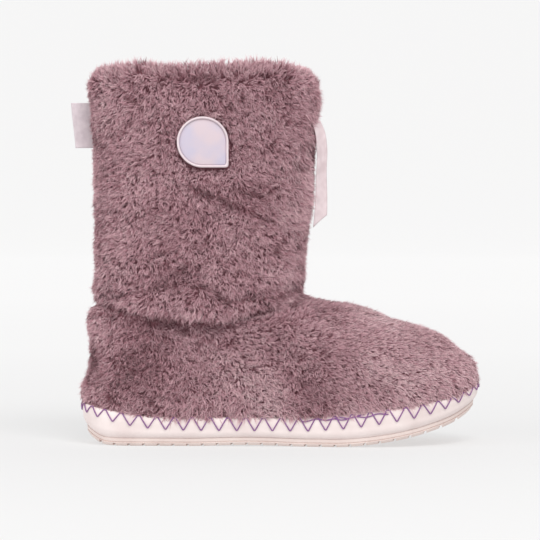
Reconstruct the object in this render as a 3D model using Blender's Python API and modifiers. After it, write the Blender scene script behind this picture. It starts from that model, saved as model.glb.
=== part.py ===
"""Fur bootie slipper for the right foot, in metres, with +X to the toe and +Z up.

The origin is on the floor under the heel. Upper, sole and insole are worked out from the same sole
outline, seat line and table of upper rings, so each follows the sizes at the top.
"""

import math

import bmesh
import bpy
import numpy as np

# Sole
SOLE_LENGTH = 0.265
BALL_WIDTH = 0.098
HEEL_OVERHANG = 0.040  # from the origin back to the end of the heel
SOLE_THICKNESS = 0.0195  # floor to seat, along the flat stretch
OUTSOLE_THICKNESS = 0.0045
TOE_SPRING = 0.026  # how far the tread line lifts at the toe
HEEL_CURL = 0.0095  # how far it lifts at the end of the heel
SEAT_TOE_RISE = 0.0205
SEAT_HEEL_RISE = 0.0085
ARCH_RISE = 0.0009
ARCH_MIDDLE, ARCH_REACH = 0.42, 0.15  # shares of the sole's length
FOOT_STEP = 0.0042  # how far the foot of the band is set in
TREAD_DEPTH = 0.0016
TREAD_GROOVE = 0.0020
TREAD_PITCH = 0.0098
TREAD_POINT = 0.0075  # how far a tread groove runs forward at the middle

# Upper
INSTEP_RISE = 0.0805  # seat to the ankle crease at the front
BOOT_HEIGHT = 0.2525  # floor to the crest of the collar
SHAFT_WIDTH = 0.102
BACKING = 0.0035  # woven backing and fleece lining
PILE = 0.0045  # pressed fur over the backing
LOCK_RISE = 0.0030
LOCK_DROP = 0.95  # share of a lock's height that its tip hangs down
INSOLE_THICKNESS = 0.0035

# Trim
BADGE_RADIUS = 0.0167
BADGE_FORWARD = 0.0415
BADGE_DROP = 0.0520  # from the crest of the collar down to its middle
BADGE_THICKNESS = 0.0020
BADGE_RIM_WIDTH = 0.0016
BADGE_RIM_RISE = 0.0009
BADGE_CORNER = 1.37  # how much further out the square corner reaches
LABEL_HEIGHT = 0.0300
LABEL_REACH = 0.0115
LABEL_DROP = 0.0260  # from the crest of the collar down to its top
LABEL_TAPE = 0.0007
LABEL_FOLD = 0.0011
RIBBON_WIDTH = 0.0115
RIBBON_LENGTH = 0.0630
RIBBON_DROP = 0.0375  # from the crest of the collar down to its top
RIBBON_TAPE = 0.0006
RIBBON_SLANT = 0.0080  # how much lower its cut end is at the back edge
TRIM_MARGIN = 0.0070  # bare of locks round the badge, label and ribbon

GAP = 0.0003
WALL = BACKING + PILE
BADGE_HEIGHT = BOOT_HEIGHT - BADGE_DROP
LABEL_TOP = BOOT_HEIGHT - LABEL_DROP
RIBBON_TOP = BOOT_HEIGHT - RIBBON_DROP
AROUND = 60  # points around a ring of the upper
LEVELS = 31  # steps between rings of the fur
LINING_RINGS = 12
SOLE_AROUND = 64
BADGE_AROUND = 40

# Outline of the sole: share of its length from the heel, then shares of the ball width
OUTLINE = (
    # along, centre, half width
    (0.00, 0.000, 0.345),
    (0.14, 0.000, 0.352),
    (0.30, -0.022, 0.353),
    (0.42, -0.028, 0.368),
    (0.55, -0.008, 0.418),
    (0.68, 0.010, 0.492),
    (0.78, 0.020, 0.500),
    (0.90, 0.045, 0.478),
    (1.00, 0.070, 0.440),
)
HEEL_ROUND, HEEL_POWER = 0.135, 2.15
TOE_ROUND, TOE_POWER = 0.25, 2.25

# Lift of the tread and of the seat: shares of the heel's lift behind the middle, of the toe's ahead of it
SIDE_LINES = (
    # along, tread, seat
    (0.000, 1.00, 1.00),
    (0.025, 0.52, 0.82),
    (0.055, 0.10, 0.62),
    (0.085, 0.00, 0.44),
    (0.150, 0.00, 0.14),
    (0.230, 0.00, 0.00),
    (0.560, 0.00, 0.00),
    (0.642, 0.00, 0.09),
    (0.755, 0.11, 0.27),
    (0.868, 0.36, 0.47),
    (0.940, 0.62, 0.68),
    (0.980, 0.86, 0.88),
    (1.000, 1.00, 1.00),
)

# Rings of the upper, from the feather edge to the collar
UPPER = (
    # back and front as shares of the sole's length, rises as shares of the instep, half width as a share
    # of the ball, oval 0 for the sole's outline and 1 for an oval, hug for the seat line, sag at the side
    # back, back rise, front, front rise, half width, oval, hug, sag
    (0.0038, 0.000, 0.9962, 0.000, 0.4898, 0.00, 1.00, 0.000),
    (0.0040, 0.050, 0.9975, 0.062, 0.5000, 0.00, 1.00, 0.000),
    (0.0062, 0.110, 0.9905, 0.155, 0.5080, 0.03, 1.00, 0.000),
    (0.0115, 0.175, 0.9720, 0.258, 0.5080, 0.08, 1.00, 0.000),
    (0.0170, 0.250, 0.9470, 0.358, 0.5000, 0.14, 1.00, 0.000),
    (0.0205, 0.332, 0.9180, 0.468, 0.4850, 0.20, 1.00, 0.000),
    (0.0219, 0.412, 0.8900, 0.550, 0.4700, 0.27, 0.94, 0.000),
    (0.0219, 0.487, 0.8540, 0.607, 0.4540, 0.35, 0.88, 0.000),
    (0.0211, 0.564, 0.8160, 0.674, 0.4420, 0.44, 0.80, 0.000),
    (0.0200, 0.636, 0.7780, 0.727, 0.4340, 0.53, 0.70, 0.012),
    (0.0190, 0.706, 0.7300, 0.818, 0.4280, 0.63, 0.55, 0.030),
    (0.0190, 0.770, 0.6680, 0.891, 0.4240, 0.74, 0.40, 0.060),
    (0.0215, 0.845, 0.6010, 0.930, 0.4220, 0.86, 0.20, 0.110),
    (0.0385, 0.940, 0.5560, 0.995, 0.4130, 1.00, 0.00, 0.190),
)

# Rings of the shaft: rise as a share of the height above the ankle crease, half width of the shaft's
SHAFT = (
    # back, back rise, front, front rise, half width, sag as a share of the instep
    (0.0330, 0.032, 0.5570, 0.030, 0.4320, 0.200),
    (0.0345, 0.072, 0.5585, 0.062, 0.4480, 0.185),
    (0.0375, 0.125, 0.5570, 0.110, 0.4480, 0.120),
    (0.0345, 0.195, 0.5620, 0.180, 0.4500, 0.050),
    (0.0375, 0.300, 0.5640, 0.290, 0.4580, 0.000),
    (0.0340, 0.435, 0.5755, 0.430, 0.4680, 0.000),
    (0.0325, 0.630, 0.5830, 0.630, 0.4820, 0.000),
    (0.0235, 0.825, 0.5870, 0.825, 0.4960, 0.000),
    (0.0210, 0.905, 0.5870, 0.905, 0.5000, 0.000),
    (0.0290, 0.960, 0.5800, 0.960, 0.4920, 0.000),
    (0.0410, 0.990, 0.5680, 0.990, 0.4650, 0.000),
)

# Soft troughs in the fur: ends as shares of the sole's length and the boot's height
FOLDS = (
    # side, from along, from up, to along, to up, half breadth, depth, both as shares of the instep
    (-1, 0.07, 0.405, 0.28, 0.445, 0.080, 0.034),
    (-1, 0.30, 0.440, 0.35, 0.390, 0.070, 0.034),
    (-1, 0.37, 0.388, 0.55, 0.408, 0.070, 0.032),
    (-1, 0.18, 0.335, 0.25, 0.325, 0.080, 0.040),
    (-1, 0.49, 0.245, 0.57, 0.150, 0.120, 0.042),
    (-1, 0.03, 0.235, 0.04, 0.170, 0.090, 0.028),
    (-1, 0.65, 0.155, 0.74, 0.155, 0.090, 0.030),
    (1, 0.10, 0.420, 0.34, 0.430, 0.080, 0.034),
    (1, 0.36, 0.395, 0.53, 0.415, 0.070, 0.034),
    (1, 0.46, 0.255, 0.55, 0.160, 0.120, 0.040),
    (1, 0.60, 0.200, 0.72, 0.165, 0.100, 0.030),
)


def read_rows(rows, at):
    """The columns of a table at the given places, on a smooth curve through its rows."""
    rows = np.array(rows, float)
    at = np.asarray(at, float)
    place, values = rows[:, 0], rows[:, 1:]
    slope = np.gradient(values, place, axis=0)
    low = np.clip(np.searchsorted(place, at, side="right") - 1, 0, len(place) - 2)
    span = (place[low + 1] - place[low])[:, None]
    t = ((at - place[low])[:, None]) / span
    start = (1 + 2 * t) * (1 - t) ** 2 * values[low] + t * (1 - t) ** 2 * span * slope[low]
    end = t * t * (3 - 2 * t) * values[low + 1] + t * t * (t - 1) * span * slope[low + 1]
    return start + end


def side_lines(x):
    """Heights of the tread line and of the seat line at the given places along the sole."""
    along = np.clip((np.asarray(x, float) + HEEL_OVERHANG) / SOLE_LENGTH, 0, 1)
    tread, seat = read_rows(SIDE_LINES, along).T
    ahead = along > 0.5
    arch = ARCH_RISE * np.clip(1 - ((along - ARCH_MIDDLE) / ARCH_REACH) ** 2, 0, 1) ** 2
    tread = np.maximum(tread, 0) * np.where(ahead, TOE_SPRING, HEEL_CURL) + arch
    seat = SOLE_THICKNESS + np.maximum(seat, 0) * np.where(ahead, SEAT_TOE_RISE, SEAT_HEEL_RISE)
    return tread, seat


def outline(along):
    """Centre and half width of the sole as shares of the ball width, rounded at both ends."""
    centre, half = read_rows(OUTLINE, along).T
    heel = np.clip(1 - along / HEEL_ROUND, 0, 1)
    toe = np.clip(1 - (1 - along) / TOE_ROUND, 0, 1)
    ends = (1 - heel**HEEL_POWER) ** (1 / HEEL_POWER) * (1 - toe**TOE_POWER) ** (1 / TOE_POWER)
    return centre, half * ends


def oval(along):
    """Half width of a full oval that is 1 at the middle and 0 at both ends."""
    return (1 - np.abs(2 * along - 1) ** 2.2) ** (1 / 2.2)


def even(points, count):
    """The same path with its points evenly apart, both ends kept."""
    step = np.linalg.norm(np.diff(points, axis=0), axis=1)
    run = np.concatenate([[0], np.cumsum(step)])
    at = np.linspace(0, run[-1], count + 1)
    return np.stack([np.interp(at, run, points[:, axis]) for axis in range(3)], axis=1)


def closed_ring(x, centre, half, z, count):
    """A ring from the heel's end along the outer side to the toe, and back along the inner side."""
    outer = even(np.stack([x, centre - half, z], axis=1), count // 2)
    inner = even(np.stack([x, centre + half, z], axis=1), count // 2)
    return np.concatenate([outer[:-1], inner[:0:-1]])


def inset_ring(ring, inset):
    """A ring moved inwards by the same distance all round, seen from above."""
    ahead = np.roll(ring, -1, axis=0) - np.roll(ring, 1, axis=0)
    length = np.linalg.norm(ahead[:, :2], axis=1)
    inwards = np.stack([-ahead[:, 1] / length, ahead[:, 0] / length, np.zeros(len(ring))], axis=1)
    return ring + inset * inwards


def sole_ring(inset):
    along = (1 - np.cos(np.linspace(0, math.pi, 361))) / 2
    centre, half = outline(along)
    x = along * SOLE_LENGTH - HEEL_OVERHANG
    ring = closed_ring(x, centre * BALL_WIDTH, half * BALL_WIDTH, 0 * x, SOLE_AROUND)
    return inset_ring(ring, inset)


def upper_rows():
    """Every ring of the upper in metres: back, back rise, front, front rise, half width, oval, hug, sag."""
    ankle = SOLE_THICKNESS + INSTEP_RISE
    shaft = BOOT_HEIGHT - ankle
    rows = []
    for back, back_up, front, front_up, half, round_, hug, sag in UPPER:
        rows.append(
            (back * SOLE_LENGTH, back_up * INSTEP_RISE, front * SOLE_LENGTH, front_up * INSTEP_RISE,
             half * BALL_WIDTH, round_, hug, sag * INSTEP_RISE)
        )
    for back, back_up, front, front_up, half, sag in SHAFT:
        rows.append(
            (back * SOLE_LENGTH, INSTEP_RISE + back_up * shaft, front * SOLE_LENGTH,
             INSTEP_RISE + front_up * shaft, half * SHAFT_WIDTH, 1.0, 0.0, sag * INSTEP_RISE)
        )
    return np.array(rows)


def upper_ring(row, count):
    """One ring of the upper, before its folds."""
    back, back_rise, front, front_rise, half, round_, hug, sag = row
    along = (1 - np.cos(np.linspace(0, math.pi, 241))) / 2
    x = back + (front - back) * along - HEEL_OVERHANG
    centre, plain = outline(along)
    width = (1 - round_) * plain / 0.5 + round_ * oval(along)
    seat = side_lines(x)[1]
    z = back_rise + (front_rise - back_rise) * along + hug * seat + (1 - hug) * SOLE_THICKNESS
    z = z - sag * np.sin(math.pi * along**1.2)
    return closed_ring(x, (1 - round_) * centre * BALL_WIDTH, half * width, z, count)


def upper_levels(count):
    """Rings of the upper, evenly apart from the feather edge to the collar."""
    rows = upper_rows()
    back = np.stack([rows[:, 0], rows[:, 1]], axis=1)
    front = np.stack([rows[:, 2], rows[:, 3]], axis=1)
    steps = 0.5 * np.linalg.norm(np.diff(back, axis=0), axis=1)
    steps += 0.5 * np.linalg.norm(np.diff(front, axis=0), axis=1)
    run = np.concatenate([[0], np.cumsum(steps)])
    table = np.concatenate([run[:, None], rows], axis=1)
    return read_rows(table, np.linspace(0, run[-1], count + 1))


def grid_normals(grid):
    """Outward normals of a grid of rings that close on themselves."""
    along = np.roll(grid, -1, axis=1) - np.roll(grid, 1, axis=1)
    up = np.gradient(grid, axis=0)
    normal = np.cross(along, up)
    return normal / np.linalg.norm(normal, axis=2, keepdims=True)


def soften(grid, times):
    """The grid with each ring drawn towards its neighbours, first and last kept."""
    for _ in range(times):
        middle = (grid[:-2] + 2 * grid[1:-1] + grid[2:]) / 4
        grid = np.concatenate([grid[:1], middle, grid[-1:]])
    return grid


def fold_depth(grid):
    """How far the soft troughs press the fur in at each point."""
    along = (grid[..., 0] + HEEL_OVERHANG) / SOLE_LENGTH
    up = grid[..., 2] / BOOT_HEIGHT
    depth = np.zeros(along.shape)
    for side, along_a, up_a, along_b, up_b, breadth, deep in FOLDS:
        start = np.array([along_a * SOLE_LENGTH, up_a * BOOT_HEIGHT])
        run = np.array([along_b * SOLE_LENGTH, up_b * BOOT_HEIGHT]) - start
        place = np.stack([along * SOLE_LENGTH, up * BOOT_HEIGHT], axis=-1) - start
        share = np.clip((place @ run) / (run @ run), 0, 1)
        away = np.linalg.norm(place - share[..., None] * run, axis=-1)
        mask = np.clip(side * grid[..., 1] / (0.1 * BALL_WIDTH), 0, 1)
        depth += mask * deep * INSTEP_RISE * np.exp(-((away / (breadth * INSTEP_RISE)) ** 2))
    return depth


def fur_grid():
    """The outside of the upper at the foot of its locks, and its outward normals."""
    grid = np.array([upper_ring(row, AROUND) for row in upper_levels(LEVELS)])
    normals = grid_normals(soften(grid, 2))
    fade = np.clip(np.arange(len(grid)) / 2, 0, 1)[:, None]
    grid = grid - normals * (fold_depth(grid) * fade)[..., None]
    _, seat = side_lines(grid[0, :, 0])
    grid[0, :, 2] = seat + GAP
    return grid, normals


def lining_grid():
    """The inside of the upper: the fur's rings drawn in by the wall, with the folds smoothed away."""
    plain = np.array([upper_ring(row, AROUND) for row in upper_levels(LEVELS)])
    plain = soften(plain, 5)
    inside = plain - grid_normals(plain) * WALL
    inside = inside[np.linspace(0, LEVELS - 2, LINING_RINGS).round().astype(int)]
    inside[0] = inset_ring(plain[0], WALL)
    inside[0, :, 2] = side_lines(inside[0, :, 0])[1] + GAP
    return inside


def shaft_size(z):
    """Back, front and half width of the shaft at a height."""
    rows = upper_levels(120)
    up = SOLE_THICKNESS + rows[:, 1]
    back, front, half = (float(np.interp(z, up, rows[:, column])) for column in (0, 2, 4))
    return back - HEEL_OVERHANG, front - HEEL_OVERHANG, half


def side_point(x, z, side, away):
    """A point off the shaft at a place seen from the side, by the given distance along its normal."""
    back, front, half = shaft_size(z)
    nudge = 0.0005
    places = np.array([x - nudge, x, x + nudge])
    y = side * half * oval((places - back) / (front - back))
    normal = np.array([side * (y[0] - y[2]), side * 2 * nudge, 0])
    normal /= np.linalg.norm(normal)
    return np.array([x, y[1], z]) + away * normal


def new_object(name, mesh, collection, material):
    thing = bpy.data.objects.new(name, mesh)
    collection.objects.link(thing)
    mesh.materials.append(material)
    return thing


def mesh_of(name, points, faces):
    mesh = bpy.data.meshes.new(name)
    mesh.from_pydata([tuple(point) for point in points], [], faces)
    mesh.validate()
    return mesh


def shade(mesh, degrees=40):
    mesh.shade_smooth()
    mesh.set_sharp_from_angle(angle=math.radians(degrees))


def finish(name, color, roughness, metallic=0.0):
    """A Principled material with its colour given as the eye sees it, 0 to 255."""
    material = bpy.data.materials.new(name)
    material.use_nodes = True
    shader = material.node_tree.nodes["Principled BSDF"]
    linear = [(channel / 255) ** 2.2 for channel in color]
    shader.inputs["Base Color"].default_value = (*linear, 1)
    shader.inputs["Roughness"].default_value = roughness
    shader.inputs["Metallic"].default_value = metallic
    material.diffuse_color = (*linear, 1)
    return material


def bands(rings, around, first=0):
    """Faces between each ring and the next, facing out from rings that climb."""
    faces = []
    for level in range(rings - 1):
        low, high = first + level * around, first + (level + 1) * around
        for j in range(around):
            k = (j + 1) % around
            faces.append((low + j, low + k, high + k, high + j))
    return faces


def strips(around, first, upwards):
    """A cap across a ring, as strips from its outer side to its inner side."""
    faces = []
    half = around // 2
    for j in range(half):
        corners = [first + j, first + j + 1, first + (around - j - 1) % around, first + (around - j) % around]
        corners = [corner for place, corner in enumerate(corners) if corner not in corners[:place]]
        faces.append(tuple(corners) if upwards else tuple(reversed(corners)))
    return faces


def stack(name, rings):
    """A closed solid of rings that climb, with a cap across the lowest and the highest."""
    around = len(rings[0])
    faces = strips(around, 0, False) + bands(len(rings), around)
    faces += strips(around, (len(rings) - 1) * around, True)
    return mesh_of(name, np.concatenate(rings), faces)


def trim_zone(point):
    """True where a lock would run into the badge, the label or the ribbon."""
    x, y, z = point
    forward, up = x - BADGE_FORWARD, z - BADGE_HEIGHT
    corner = BADGE_CORNER if forward > 0 > up else 1
    badge = math.hypot(forward, up) < corner * BADGE_RADIUS + TRIM_MARGIN and y < 0
    label_low = LABEL_TOP - LABEL_HEIGHT - TRIM_MARGIN
    label = label_low < z < LABEL_TOP + TRIM_MARGIN and abs(y) < 1.4 * TRIM_MARGIN and x < 0
    ribbon_low = RIBBON_TOP - RIBBON_LENGTH - RIBBON_SLANT - TRIM_MARGIN
    front = shaft_size(RIBBON_TOP)[1]
    beside = y < -0.5 * RIBBON_WIDTH and x > front - 1.75 * RIBBON_WIDTH
    ribbon = ribbon_low < z < RIBBON_TOP + TRIM_MARGIN and beside
    return badge or label or ribbon


def make_upper(collection):
    """One wall from feather edge to collar, with locks of fur raised on every other face."""
    fur, normals = fur_grid()
    lining = lining_grid()
    crest = (fur[-1] + lining[-1]) / 2
    crest[:, 2] = BOOT_HEIGHT
    rings = [*fur, crest, *lining[::-1]]
    points = [tuple(point) for point in np.concatenate(rings)]
    faces = bands(len(rings), AROUND)
    last, first = (len(rings) - 1) * AROUND, 0
    for j in range(AROUND):
        k = (j + 1) % AROUND
        faces.append((last + j, last + k, first + k, first + j))
    rng = np.random.default_rng(7)
    size = rng.uniform(0.75, 1.2, (len(fur), AROUND))
    lean = rng.uniform(-0.25, 0.25, (len(fur), AROUND))
    with_locks = []
    for face in faces:
        level, j = divmod(face[0], AROUND)
        corners = [np.array(points[corner]) for corner in face]
        centre = sum(corners) / 4
        if level >= len(fur) - 2 or (level + j) % 2 or trim_zone(centre):
            with_locks.append(face)
            continue
        down = (corners[0] + corners[1] - corners[2] - corners[3]) / 2
        across = (corners[1] - corners[0] + corners[2] - corners[3]) / 2
        tip = centre + normals[level, j] * LOCK_RISE * size[level, j]
        tip = tip + down * LOCK_DROP * size[level, j] * 0.75 + across * lean[level, j]
        points.append(tuple(tip))
        top = len(points) - 1
        with_locks.extend((face[n], face[(n + 1) % 4], top) for n in range(4))
    mesh = mesh_of("upper", points, with_locks)
    mesh.shade_smooth()
    return new_object("upper", mesh, collection, finish("dusty mauve fur", (165, 125, 135), 0.95))


def make_midsole(collection):
    """The pale band between tread and fur, with soft edges and a step in at its foot."""
    rows = (
        # share of the band's height, inset as a share of the step at its foot
        (0.00, 1.00),
        (0.05, 0.86),
        (0.09, 0.57),
        (0.20, 0.31),
        (0.45, 0.12),
        (0.75, 0.00),
        (0.92, 0.07),
        (0.98, 0.24),
        (1.00, 0.52),
    )
    rings = []
    for share, inset in rows:
        ring = sole_ring(inset * FOOT_STEP)
        tread, seat = side_lines(ring[:, 0])
        low = tread + OUTSOLE_THICKNESS + GAP
        ring[:, 2] = low + (seat - low) * share
        rings.append(ring)
    mesh = stack("midsole", rings)
    shade(mesh)
    return new_object("midsole", mesh, collection, finish("pale pink rubber", (240, 228, 226), 0.55))


def make_outsole(collection, cutters):
    """The tread layer, with a rib round its side and pointed grooves cut across its underside."""
    rows = (
        # share of the layer's thickness, inset as a share of the step at the band's foot
        (0.00, 1.38),
        (0.22, 1.00),
        (0.45, 0.88),
        (0.55, 1.02),
        (0.65, 0.86),
        (0.90, 0.81),
        (1.00, 1.00),
    )
    rings = []
    for share, inset in rows:
        ring = sole_ring(inset * FOOT_STEP)
        ring[:, 2] = side_lines(ring[:, 0])[0] + OUTSOLE_THICKNESS * share
        rings.append(ring)
    mesh = stack("outsole", rings)
    shade(mesh)
    outsole = new_object("outsole", mesh, collection, finish("beige pink tread", (214, 180, 168), 0.7))
    cut = outsole.modifiers.new("tread grooves", "BOOLEAN")
    cut.operation = "DIFFERENCE"
    cut.solver = "EXACT"
    cut.object = make_groove_cutter(cutters)
    return outsole


def make_groove_cutter(cutters):
    """Pointed bars across the sole, a pitch apart, with the origin midway between two of them."""
    points, faces = [], []
    reach = 0.75 * BALL_WIDTH
    back = 0.04 * SOLE_LENGTH - HEEL_OVERHANG
    ahead = 0.97 * SOLE_LENGTH - HEEL_OVERHANG
    place = (math.ceil(back / TREAD_PITCH) - 0.5) * TREAD_PITCH - TREAD_POINT
    while place < ahead:
        base = len(points)
        for y, forward in ((-reach, 0), (0, TREAD_POINT), (reach, 0)):
            for edge in (-0.5, 0.5):
                x = place + forward + edge * TREAD_GROOVE
                floor = float(side_lines([x])[0][0])
                points.append((x, y, floor - 0.02))
                points.append((x, y, floor + TREAD_DEPTH))
        for part in (0, 4):
            a, b, c, d = base + part, base + part + 1, base + part + 2, base + part + 3
            e, f, g, h = a + 4, b + 4, c + 4, d + 4
            faces += [(a, e, f, b), (d, h, g, c), (b, f, h, d), (c, g, e, a)]
        faces += [(base, base + 1, base + 3, base + 2)]
        faces += [(base + 8, base + 10, base + 11, base + 9)]
        place += TREAD_PITCH
    mesh = mesh_of("tread groove bars", points, faces)
    shell = bmesh.new()
    shell.from_mesh(mesh)
    bmesh.ops.recalc_face_normals(shell, faces=shell.faces)
    shell.to_mesh(mesh)
    shell.free()
    bars = bpy.data.objects.new("tread groove bars", mesh)
    cutters.objects.link(bars)
    bars.hide_render = True
    bars.display_type = "WIRE"
    return bars


def make_insole(collection):
    """A padded insole on the seat, inside the upper's wall."""
    edge = lining_grid()[0]
    rows = (
        # share of the thickness, inset as a share of it
        (0.0, 0.34),
        (0.7, 0.63),
        (1.0, 0.97),
    )
    rings = []
    for share, inset in rows:
        ring = inset_ring(edge, inset * INSOLE_THICKNESS)
        ring[:, 2] = side_lines(ring[:, 0])[1] + GAP + share * INSOLE_THICKNESS
        rings.append(ring)
    mesh = stack("insole", rings)
    shade(mesh)
    return new_object("insole", mesh, collection, finish("fleece insole", (196, 160, 168), 0.95))


def badge_outline(radius):
    """A disc with one square corner, at the lower front, as offsets forward and up."""
    turn = np.linspace(0, 2 * math.pi, BADGE_AROUND, endpoint=False)
    forward, up = np.cos(turn), np.sin(turn)
    corner = (forward > 0) & (up < 0)
    power = 2 * math.log(2) / (math.log(2) - 2 * math.log(BADGE_CORNER))
    square = (np.abs(forward) ** power + np.abs(up) ** power) ** (-1 / power)
    stretch = np.where(corner, square, 1.0)
    return radius * stretch * forward, radius * stretch * up


def badge_rings(rows):
    """Rings of the badge bent to the shaft: each row is a radius and a distance off the fur."""
    rings = []
    for radius, away in rows:
        forward, up = badge_outline(radius)
        ring = [
            side_point(BADGE_FORWARD + x, BADGE_HEIGHT + z, -1, away) for x, z in zip(forward, up)
        ]
        rings.append(np.array(ring))
    return rings


def make_badge(collection):
    """The satin field of the badge, slightly domed."""
    edge = BADGE_RADIUS - BADGE_RIM_WIDTH - GAP
    rows = (
        (0.20 * edge, GAP),
        (0.60 * edge, GAP),
        (edge, GAP),
        (edge, GAP + 0.75 * BADGE_THICKNESS),
        (0.93 * edge, GAP + BADGE_THICKNESS),
        (0.55 * edge, GAP + 1.15 * BADGE_THICKNESS),
        (0.20 * edge, GAP + 1.20 * BADGE_THICKNESS),
    )
    rings = badge_rings(rows)
    around = len(rings[0])
    faces = bands(len(rings), around)
    faces += [tuple(reversed(range(around)))]
    faces += [tuple(range((len(rings) - 1) * around, len(rings) * around))]
    mesh = mesh_of("badge", np.concatenate(rings), faces)
    shade(mesh)
    return new_object("badge", mesh, collection, finish("lilac satin", (225, 222, 238), 0.35))


def make_badge_rim(collection):
    """The raised rim round the badge."""
    low, high = GAP, GAP + BADGE_THICKNESS + BADGE_RIM_RISE
    outer, inner = BADGE_RADIUS, BADGE_RADIUS - BADGE_RIM_WIDTH
    bevel = 0.3 * BADGE_RIM_WIDTH
    rows = (
        (inner, low),
        (outer, low),
        (outer, high - bevel),
        (outer - bevel, high),
        (inner + bevel, high),
        (inner, high - bevel),
    )
    rings = badge_rings(rows)
    around = len(rings[0])
    faces = bands(len(rings), around)
    last = (len(rings) - 1) * around
    for j in range(around):
        k = (j + 1) % around
        faces.append((last + j, last + k, k, j))
    mesh = mesh_of("badge_rim", np.concatenate(rings), faces)
    shade(mesh)
    return new_object("badge_rim", mesh, collection, finish("white pink rubber", (243, 232, 234), 0.4))


def make_back_label(collection):
    """A tape folded into a loop, with both its ends on the back of the shaft."""
    path = [(0.0, -LABEL_FOLD)]
    for step in range(9):
        turn = math.pi * step / 8
        path.append((LABEL_REACH - LABEL_FOLD * (1 - math.sin(turn)), -LABEL_FOLD * math.cos(turn)))
    path.append((0.0, LABEL_FOLD))
    points, faces = [], []
    for height in (LABEL_TOP - LABEL_HEIGHT, LABEL_TOP):
        seat = shaft_size(height)[0] - GAP
        points += [(seat - reach, y, height) for reach, y in path]
    count = len(path)
    for n in range(count - 1):
        faces.append((n, n + 1, count + n + 1, count + n))
    mesh = mesh_of("back_label", points, faces)
    shade(mesh, 60)
    label = new_object("back_label", mesh, collection, finish("woven tape", (235, 225, 232), 0.6))
    wall = label.modifiers.new("tape", "SOLIDIFY")
    wall.thickness = LABEL_TAPE
    wall.offset = 0
    return label


def make_ribbon(collection):
    """A satin ribbon sewn at its top to the front of the shaft, turning outwards as it hangs."""
    rows = (
        # share of the length, forward of the shaft's front and across as shares of the width, turn from
        # straight ahead in degrees
        (0.00, 0.02, -1.15, 60),
        (0.10, 0.24, -1.10, 57),
        (0.25, 0.38, -1.05, 55),
        (0.60, 0.38, -1.00, 52),
        (0.85, 0.33, -0.98, 44),
        (1.00, 0.29, -0.96, 37),
    )
    drops = np.linspace(0, 1, 13)
    front = shaft_size(RIBBON_TOP)[1]
    points, faces = [], []
    for drop, (forward, across, turn) in zip(drops, read_rows(rows, drops)):
        lean = np.array([math.cos(math.radians(turn)), math.sin(math.radians(turn)), 0])
        x, y = front + forward * RIBBON_WIDTH, across * RIBBON_WIDTH
        middle = np.array([x, y, RIBBON_TOP - drop * RIBBON_LENGTH])
        for edge in (-0.5, 0.0, 0.5):
            slant = np.array([0, 0, -RIBBON_SLANT * (0.5 - edge) * drop])
            points.append(tuple(middle + edge * RIBBON_WIDTH * lean + slant))
    for n in range(len(drops) - 1):
        for part in range(2):
            a = 3 * n + part
            faces.append((a, a + 3, a + 4, a + 1))
    mesh = mesh_of("ribbon", points, faces)
    shade(mesh, 60)
    ribbon = new_object("ribbon", mesh, collection, finish("satin ribbon", (244, 232, 236), 0.35))
    wall = ribbon.modifiers.new("tape", "SOLIDIFY")
    wall.thickness = RIBBON_TAPE
    wall.offset = 0
    return ribbon


def main():
    for thing in list(bpy.data.objects):
        bpy.data.objects.remove(thing)
    parts = bpy.data.collections.new("bootie slipper")
    cutters = bpy.data.collections.new("cutters")
    bpy.context.scene.collection.children.link(parts)
    bpy.context.scene.collection.children.link(cutters)
    make_outsole(parts, cutters)
    make_midsole(parts)
    make_upper(parts)
    make_insole(parts)
    make_badge(parts)
    make_badge_rim(parts)
    make_back_label(parts)
    make_ribbon(parts)


main()
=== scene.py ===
import math

import bmesh
import bpy
import numpy as np
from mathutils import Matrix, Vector


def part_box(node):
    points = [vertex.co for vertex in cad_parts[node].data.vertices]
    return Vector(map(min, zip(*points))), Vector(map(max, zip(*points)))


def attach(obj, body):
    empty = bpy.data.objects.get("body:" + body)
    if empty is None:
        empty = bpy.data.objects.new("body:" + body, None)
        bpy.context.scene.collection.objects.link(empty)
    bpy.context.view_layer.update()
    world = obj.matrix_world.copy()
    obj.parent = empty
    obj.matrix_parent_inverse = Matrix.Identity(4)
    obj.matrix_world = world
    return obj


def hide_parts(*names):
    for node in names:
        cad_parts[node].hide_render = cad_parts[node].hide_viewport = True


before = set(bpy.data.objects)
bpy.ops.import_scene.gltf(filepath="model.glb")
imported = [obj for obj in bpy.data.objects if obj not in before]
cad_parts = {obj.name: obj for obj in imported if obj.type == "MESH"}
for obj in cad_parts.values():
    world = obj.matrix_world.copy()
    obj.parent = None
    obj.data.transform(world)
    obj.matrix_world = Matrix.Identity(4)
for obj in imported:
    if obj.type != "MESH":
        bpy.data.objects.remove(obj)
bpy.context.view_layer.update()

# Boot sizes in metres. The sole's length and place come from the frame.
midsoleLow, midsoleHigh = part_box("midsole")
boot = dict(
    soleLength=midsoleHigh[0] - midsoleLow[0],
    heelOverhang=-midsoleLow[0],
    ballWidth=0.098,
    soleThickness=0.0195,
    outsoleThickness=0.0045,
    toeSpring=0.026,
    heelCurl=0.0095,
    seatToeRise=0.0205,
    seatHeelRise=0.0085,
    archRise=0.0009,
    archPlace=0.42,
    archReach=0.15,
    instepRise=0.0805,
    height=0.2525,
    shaftWidth=0.102,
    wall=0.0080,
    clearance=0.0003,
)

# Outline of the sole: along, centre, half width, as shares of its length and of the ball width
outlineRows = [
    (0.00, 0.000, 0.345), (0.14, 0.000, 0.352), (0.30, -0.022, 0.353),
    (0.42, -0.028, 0.368), (0.55, -0.008, 0.418), (0.68, 0.010, 0.492),
    (0.78, 0.020, 0.500), (0.90, 0.045, 0.478), (1.00, 0.070, 0.440),
]

# Its rounded ends, as shares of its length with the power of each superellipse
ends = dict(heel=0.135, heelPower=2.15, toe=0.25, toePower=2.25, ovalPower=2.2)

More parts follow.
